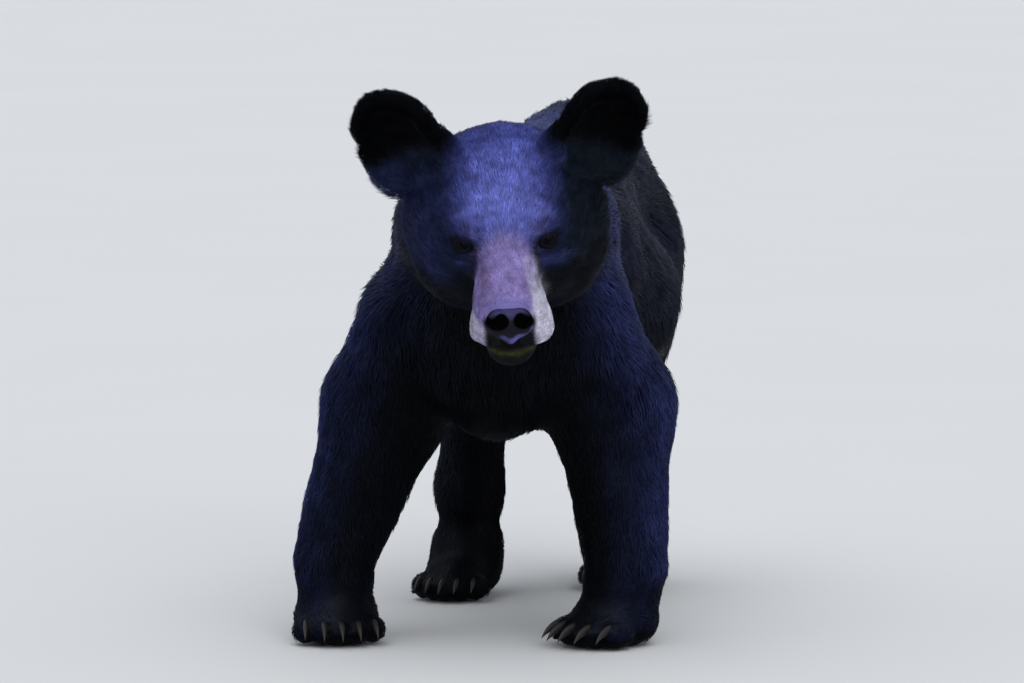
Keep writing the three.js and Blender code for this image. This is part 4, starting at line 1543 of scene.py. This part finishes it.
@dataclass
class Coat:
    """The hair: thin closed locks that lie along the body, smallest on the face and feet."""

    skin: bpy.types.Object
    locks: int = 238_000
    seed: int = 7
    most: int = 33_000
    shape: LockShape = LockShape()
    sizes: tuple[float, float] = (0.72, 1.18)
    widths: tuple[float, float] = (0.7, 1.2)
    brightness: tuple[float, float] = (0.66, 1.32)
    rises: tuple[float, float] = (0.05, 0.38)

    def lie(self, p: Rows, normals: Rows, edges: np.ndarray) -> Rows:
        """Returns which way the hair lies at each of the skin's points."""
        r = Regions(p)
        x, y, z = p.T
        one, none = np.ones(len(p)), np.zeros(len(p))
        side = np.sign(x - BODY.sway * 0.5)
        way = units(np.column_stack([none, one, -0.15 - 0.55 * step(640, 470, z)]))

        def blend(share: np.ndarray, rows: Rows) -> None:
            """Turns the hair towards a direction."""
            way[:] = units(way + np.clip(share, 0, 1)[:, None] * (units(rows) - way))

        blend(r.belly, np.column_stack([none, one, none]))
        blend(r.neck, np.column_stack([-0.25 * one, one, -0.25 - 0.5 * step(560, 440, z)]))
        front = step(-20, -110, y) * step(520, 440, z) * (1 - r.head)
        blend(front * 0.85, np.column_stack([none, 0.35 * one, -one]))
        blend(step(470, 350, z) * (1 - r.belly) * (1 - r.head), np.column_stack([none, 0.22 * one, -one]))
        rump = step(BODY.rump - 90, BODY.rump - 10, y) * step(640, 540, z)
        blend(rump, np.column_stack([none, 0.3 * one, -one]))
        for leg in LEGS:
            own = (side == leg.side) & ((y > 300) == leg.hind)
            blend(r.paw * own, leg.seat.aim(np.column_stack([none, one, -0.55 * step(40, 90, z)])))
        away = r.h - np.array([0, 124, -60])
        away[:, 2] *= 0.85
        blend(r.head, HEAD_SEAT.aim(away))
        for name, seat in EAR_SEATS.items():
            e = seat.into(p)
            blend(r.ears[name], seat.aim(np.column_stack([e[:, 0] - 4, none, e[:, 2] + 10])))
        blend(r.tail, np.column_stack([none, 0.45 * one, -one]))
        for _ in range(3):
            way = spread(way, edges, 4)
            way = units(way - (way * normals).sum(1)[:, None] * normals)
        return way

    @staticmethod
    def plots(p: Rows) -> np.ndarray:
        """Returns the number of the plot that each point belongs to."""
        r = Regions(p)
        _, y, z = p.T
        order = list(Plot)
        plot = np.full(len(p), order.index(Plot.BACK))
        for chosen, kind in (
            (y > 300, Plot.LOINS),
            (y > 560, Plot.RUMP),
            (y < 60, Plot.CHEST),
            ((y < -60) & (z > 400), Plot.NECK),
            ((z < 350) & (y < 220), Plot.FORELEGS),
            ((z < 400) & (y > 420), Plot.HINDLEGS),
            (r.paw > 0.5, Plot.PAWS),
            (r.head > 0.5, Plot.CROWN),
            ((r.head > 0.5) & (r.h[:, 1] > -52), Plot.FACE),
            (r.ear > 0.5, Plot.EARS),
        ):
            plot[chosen] = order.index(kind)
        return plot

    @staticmethod
    def fitted(r: Regions) -> tuple[np.ndarray, np.ndarray]:
        """Returns how far apart the locks stand at each point, and how long they are."""
        spacing = r.mix(**{place: hair.spacing for place, hair in HAIR.items()})
        length = r.mix(**{place: hair.length for place, hair in HAIR.items()})
        for share, hair in ((step(30, 16, r.eye) * r.head, LASHES), (r.ruff(), RUFF)):
            spacing = spacing + share * (hair.spacing - spacing)
            length = length + share * (hair.length - length)
        length = length * (1 - 0.55 * step(14, 2, r.nose)) * (1 + 0.15 * r.belly) * (1 + 0.5 * r.cup)
        return spacing, length

    @staticmethod
    def bare(p: Rows, normals: Rows, r: Regions) -> np.ndarray:
        """Tells which points bear no hair: the nose, the soles, the lids' edges and the lips."""
        bare = (r.nose < 0.8) | ((normals[:, 2] < -0.75) & (p[:, 2] < 8))
        for lid in LIDS.values():
            bare |= lid.edge(r.h)[0] < 1.0
        above, mouth = mouth_line(r.h)
        bare |= (mouth > 0.4) & (np.abs(above + 0.5) < 1.8) & (r.head > 0.5)
        return bare

    def rooted(self, rng: np.random.Generator, p: Rows, spacing: np.ndarray, bare: np.ndarray) -> Roots:
        """Spreads the roots evenly over the skin's triangles, as densely as the spacing asks."""
        mesh = self.skin.data
        mesh.calc_loop_triangles()
        tri, loops = (read(mesh.loop_triangles, key, 3, np.int64) for key in ("vertices", "loops"))
        corner = p[tri]
        area = np.linalg.norm(np.cross(corner[:, 1] - corner[:, 0], corner[:, 2] - corner[:, 0]), axis=1) / 2
        due = area / (spacing[tri].mean(1) ** 2) * ~bare[tri].any(1)
        LOG.info("roots wanted at this spacing: %d", due.sum())
        running = np.cumsum(due)
        spots = (np.arange(self.locks) + rng.random(self.locks)) / self.locks * running[-1]
        home = np.minimum(np.searchsorted(running, spots), len(tri) - 1)
        u, v = rng.random((2, self.locks))
        over = u + v > 1
        u[over], v[over] = 1 - u[over], 1 - v[over]
        return Roots(np.column_stack([1 - u - v, u, v]), tri[home], loops[home])

    def grow(self) -> list[bpy.types.Object]:
        """Makes the coat's pieces."""
        rng = np.random.default_rng(self.seed)
        p, normals, edges = rows_of(self.skin), normals_of(self.skin), edges_of(self.skin)
        r = Regions(p)
        spacing, length = self.fitted(r)
        # Slow changes over the coat, so that it isn't even all over.
        drift, clumps = (spread(rng.normal(size=(len(p), 3)), edges, rounds) for rounds in (24, 5))
        roots = self.rooted(rng, p, spacing, self.bare(p, normals, r))
        at = roots.at
        root, up, run = at(p), units(at(normals)), at(self.lie(p, normals, edges))
        run = units(run - (run * up).sum(1)[:, None] * up)
        slow = at(drift / drift.std(0))
        tuft = np.clip(at(clumps / clumps.std(0)), -2, 2)
        swing = rng.normal(size=self.locks) * 0.11 + slow[:, 0] * 0.12
        swing = swing + tuft[:, 0] * 0.14 * (1 - at(r.muzzle))
        run = run * np.cos(swing)[:, None] + np.cross(up, run) * np.sin(swing)[:, None]
        size = at(length) * rng.uniform(*self.sizes, self.locks) * (1 + 0.10 * slow[:, 1])
        wide = np.clip(0.02 * at(length) + 0.42 * at(spacing), 0.7, 2.2)
        wide = wide * rng.uniform(*self.widths, self.locks)
        stand = 0.14 + 0.14 * at(r.ear) + 0.16 * at(r.ruff()) + 0.05 * at(r.paw)
        stand = stand + 0.035 * rng.normal(size=self.locks) + 0.02 * slow[:, 2] + 0.035 * tuft[:, 2]
        points = self.shape.points(root, up, run, size, wide, size * np.clip(stand, *self.rises))
        bright = rng.uniform(*self.brightness, self.locks) * (1 + 0.10 * slow[:, 1]) * (1 + 0.20 * tuft[:, 1])
        shades = bright[:, None] * np.array(self.shape.fade)[None, :]
        uv = read(self.skin.data.uv_layers[BAKE_MAP].data, "uv", 2, np.float32)
        looks = (
            self.shape.normals(up, run),
            at(MARKINGS.colours(p, normals))[:, None, :] * shades[:, :, None],
            np.repeat(at(MARKINGS.gloss(p, normals))[:, None], 5, axis=1),
            roots.on_map(uv)[:, None, :] + (self.shape.patch * np.array(self.shape.chart))[None],
        )
        plot = self.plots(root)
        pieces = []
        for number, kind in enumerate(Plot):
            mine = np.flatnonzero(plot == number)
            parts = max(1, math.ceil(len(mine) / self.most))
            mine = mine[np.argsort(root[mine, 1], kind="stable")]
            for n, group in enumerate(np.array_split(mine, parts)):
                name = f"coat_{kind.value}" + (f"_{n + 1}" if parts > 1 else "")
                pieces.append(self.piece(name, points[group], *(look[group] for look in looks)))
                LOG.info("%s: %d locks", name, len(group))
        return pieces

    def piece(
        self,
        name: str,
        points: np.ndarray,
        bends: np.ndarray,
        paints: np.ndarray,
        shine: np.ndarray,
        charts: np.ndarray,
    ) -> bpy.types.Object:
        """Makes one piece of the coat as a joined mesh.

        Args:
            name: the piece's name.
            points: five points a lock: root, left, ridge, right and tip.
            bends: the normal at each.
            paints: the colour at each.
            shine: the gloss at each.
            charts: the place of each on the skin's unwrap.
        """
        corners = np.array(self.shape.faces)
        faces = (corners[None] + 5 * np.arange(len(points))[:, None, None]).reshape(-1, 3)
        obj = new_object(name, to_row(points.reshape(-1, 3)), faces)
        layer = obj.data.uv_layers.new(name=BAKE_MAP)
        flat = np.ascontiguousarray(charts.reshape(-1, 2)[faces.ravel()], dtype=np.float32)
        layer.data.foreach_set("uv", flat.ravel())
        obj.data.normals_split_custom_set_from_vertices(bends.reshape(-1, 3).astype(np.float32))
        paint(obj, paints.reshape(-1, 3), shine.ravel())
        obj.data.materials.append(HAIR_MATERIAL)
        return obj


# ---------------------------------------------------------------- studio


@dataclass
class Studio:
    """A plain pale floor, plain soft light, and the camera where the bear is watched from."""

    azimuth: float = 12.0
    elevation: float = 5.5
    away: float = 11.0
    sensor: float = 36.0
    lens: float = 297.4921875  # millimetres
    aim: tuple[float, float] = (0.00845, -0.1294)  # right and up from between the eyes, in metres
    size: float = 90.0
    pale: tuple[Rgba, Rgba] = ((0.64, 0.635, 0.62, 1), (0.67, 0.665, 0.65, 1))
    surround: Rgba = (0.86, 0.91, 1.0, 1)
    glow: float = 0.62

    def floor(self) -> bpy.types.Object:
        """Lays the floor."""
        bpy.ops.object.select_all(action="DESELECT")
        bpy.ops.mesh.primitive_plane_add(size=self.size)
        obj = bpy.context.view_layer.objects.active
        obj.name = "floor"
        bench = Bench("pale_floor")
        bench.set(Base_Color=bench.mix(bench.noise(1.5, 2), *self.pale))
        bench.set(Roughness=0.85, Specular_IOR_Level=0.2)
        obj.data.materials.append(bench.material)
        return obj

    @staticmethod
    def sun(
        name: str, azimuth: float, elevation: float, breadth: float, power: float, colour: Sequence[float]
    ) -> None:
        """Hangs one broad soft lamp, so far away that the floor is evenly lit.

        Args:
            name: the lamp's name.
            azimuth: where it stands, in degrees from the front, the bear's left being positive.
            elevation: how high it stands, in degrees.
            breadth: how wide it looks, in degrees.
            power: its strength.
            colour: its colour.
        """
        light = bpy.data.lights.new(name, "SUN")
        light.angle, light.energy, light.color = math.radians(breadth), power, colour
        obj = bpy.data.objects.new(name, light)
        a, e = math.radians(azimuth), math.radians(elevation)
        towards = Vector((math.sin(a) * math.cos(e), -math.cos(a) * math.cos(e), math.sin(e)))
        obj.rotation_euler = towards.to_track_quat("Z", "Y").to_euler()
        bpy.context.collection.objects.link(obj)

    def light(self) -> None:
        """Sets a broad cool light overhead, a softer one in front and an even surround."""
        world = bpy.data.worlds.new("studio")
        bpy.context.scene.world = world
        world.use_nodes = True
        back = world.node_tree.nodes["Background"]
        back.inputs["Color"].default_value = self.surround
        back.inputs["Strength"].default_value = self.glow
        self.sun("overhead", 10, 72, 70, 1.5, (0.93, 0.96, 1.0))
        self.sun("front", 30, 30, 40, 0.7, (0.96, 0.98, 1.0))

    def camera(self) -> None:
        """Sets the camera."""
        a, e = math.radians(self.azimuth), math.radians(self.elevation)
        forward = np.array([-math.sin(a) * math.cos(e), math.cos(a) * math.cos(e), -math.sin(e)])
        right = np.array([math.cos(a), math.sin(a), 0.0])
        up = np.cross(right, forward)
        target = to_row(np.array([HEAD.origin]))[0] + self.aim[0] * right + self.aim[1] * up
        data = bpy.data.cameras.new("camera")
        data.sensor_width, data.lens = self.sensor, self.lens
        data.clip_start, data.clip_end = 0.1, 200.0
        obj = bpy.data.objects.new("camera", data)
        obj.location = target - self.away * forward
        obj.rotation_euler = Vector(forward).to_track_quat("-Z", "Y").to_euler()
        bpy.context.collection.objects.link(obj)
        bpy.context.scene.camera = obj

    def build(self) -> None:
        """Sets up floor, light and camera."""
        self.floor()
        self.light()
        self.camera()
        bpy.context.scene.view_settings.view_transform = "Standard"


# ---------------------------------------------------------------- the bear

MARKINGS = Markings()
SKIN_MATERIAL = CoatFinish().dress("coat_skin", 0.6)
HAIR_MATERIAL = CoatFinish().dress("coat_hair", 0.15)
NOSE_MATERIAL = LeatherFinish().dress("nose_leather")
HORN_MATERIAL = HornFinish().dress("claw_horn")
EYE_MATERIAL = EyeFinish().dress("eye")


def unwrap(obj: bpy.types.Object) -> None:
    """Unwraps a piece by its own shape into the map that its hair shares."""
    obj.data.uv_layers.new(name=BAKE_MAP)
    edit_whole(obj, lambda: bpy.ops.uv.smart_project(angle_limit=math.radians(66), island_margin=0.002))


def main() -> None:
    """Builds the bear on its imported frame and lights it."""
    logging.basicConfig(level=logging.INFO, format="%(relativeCreated)6d ms  %(message)s", stream=sys.stdout)
    Studio().build()
    maker = Skin()
    skin = maker.build()
    unwrap(skin)
    rows, normals = rows_of(skin), normals_of(skin)
    paint(skin, MARKINGS.colours(rows, normals), MARKINGS.gloss(rows, normals))
    skin.data.materials.append(SKIN_MATERIAL)
    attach(skin, "root")
    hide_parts(*maker.nodes)
    LOG.info("skin: %d faces", len(skin.data.polygons))
    for piece in Coat(skin).grow():
        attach(piece, "root")
    for name, side in SIDES.items():
        eye = Eye(name, side).build()
        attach(eye, "root")
        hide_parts(f"eye_{name}")
    nose = NosePad().build()
    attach(nose, "root")
    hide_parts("nose")
    for claw, node in Claws().build():
        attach(claw, "root")
        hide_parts(node)
    LOG.info("eyes, nose pad and claws set")


if __name__ == "__main__":
    main()
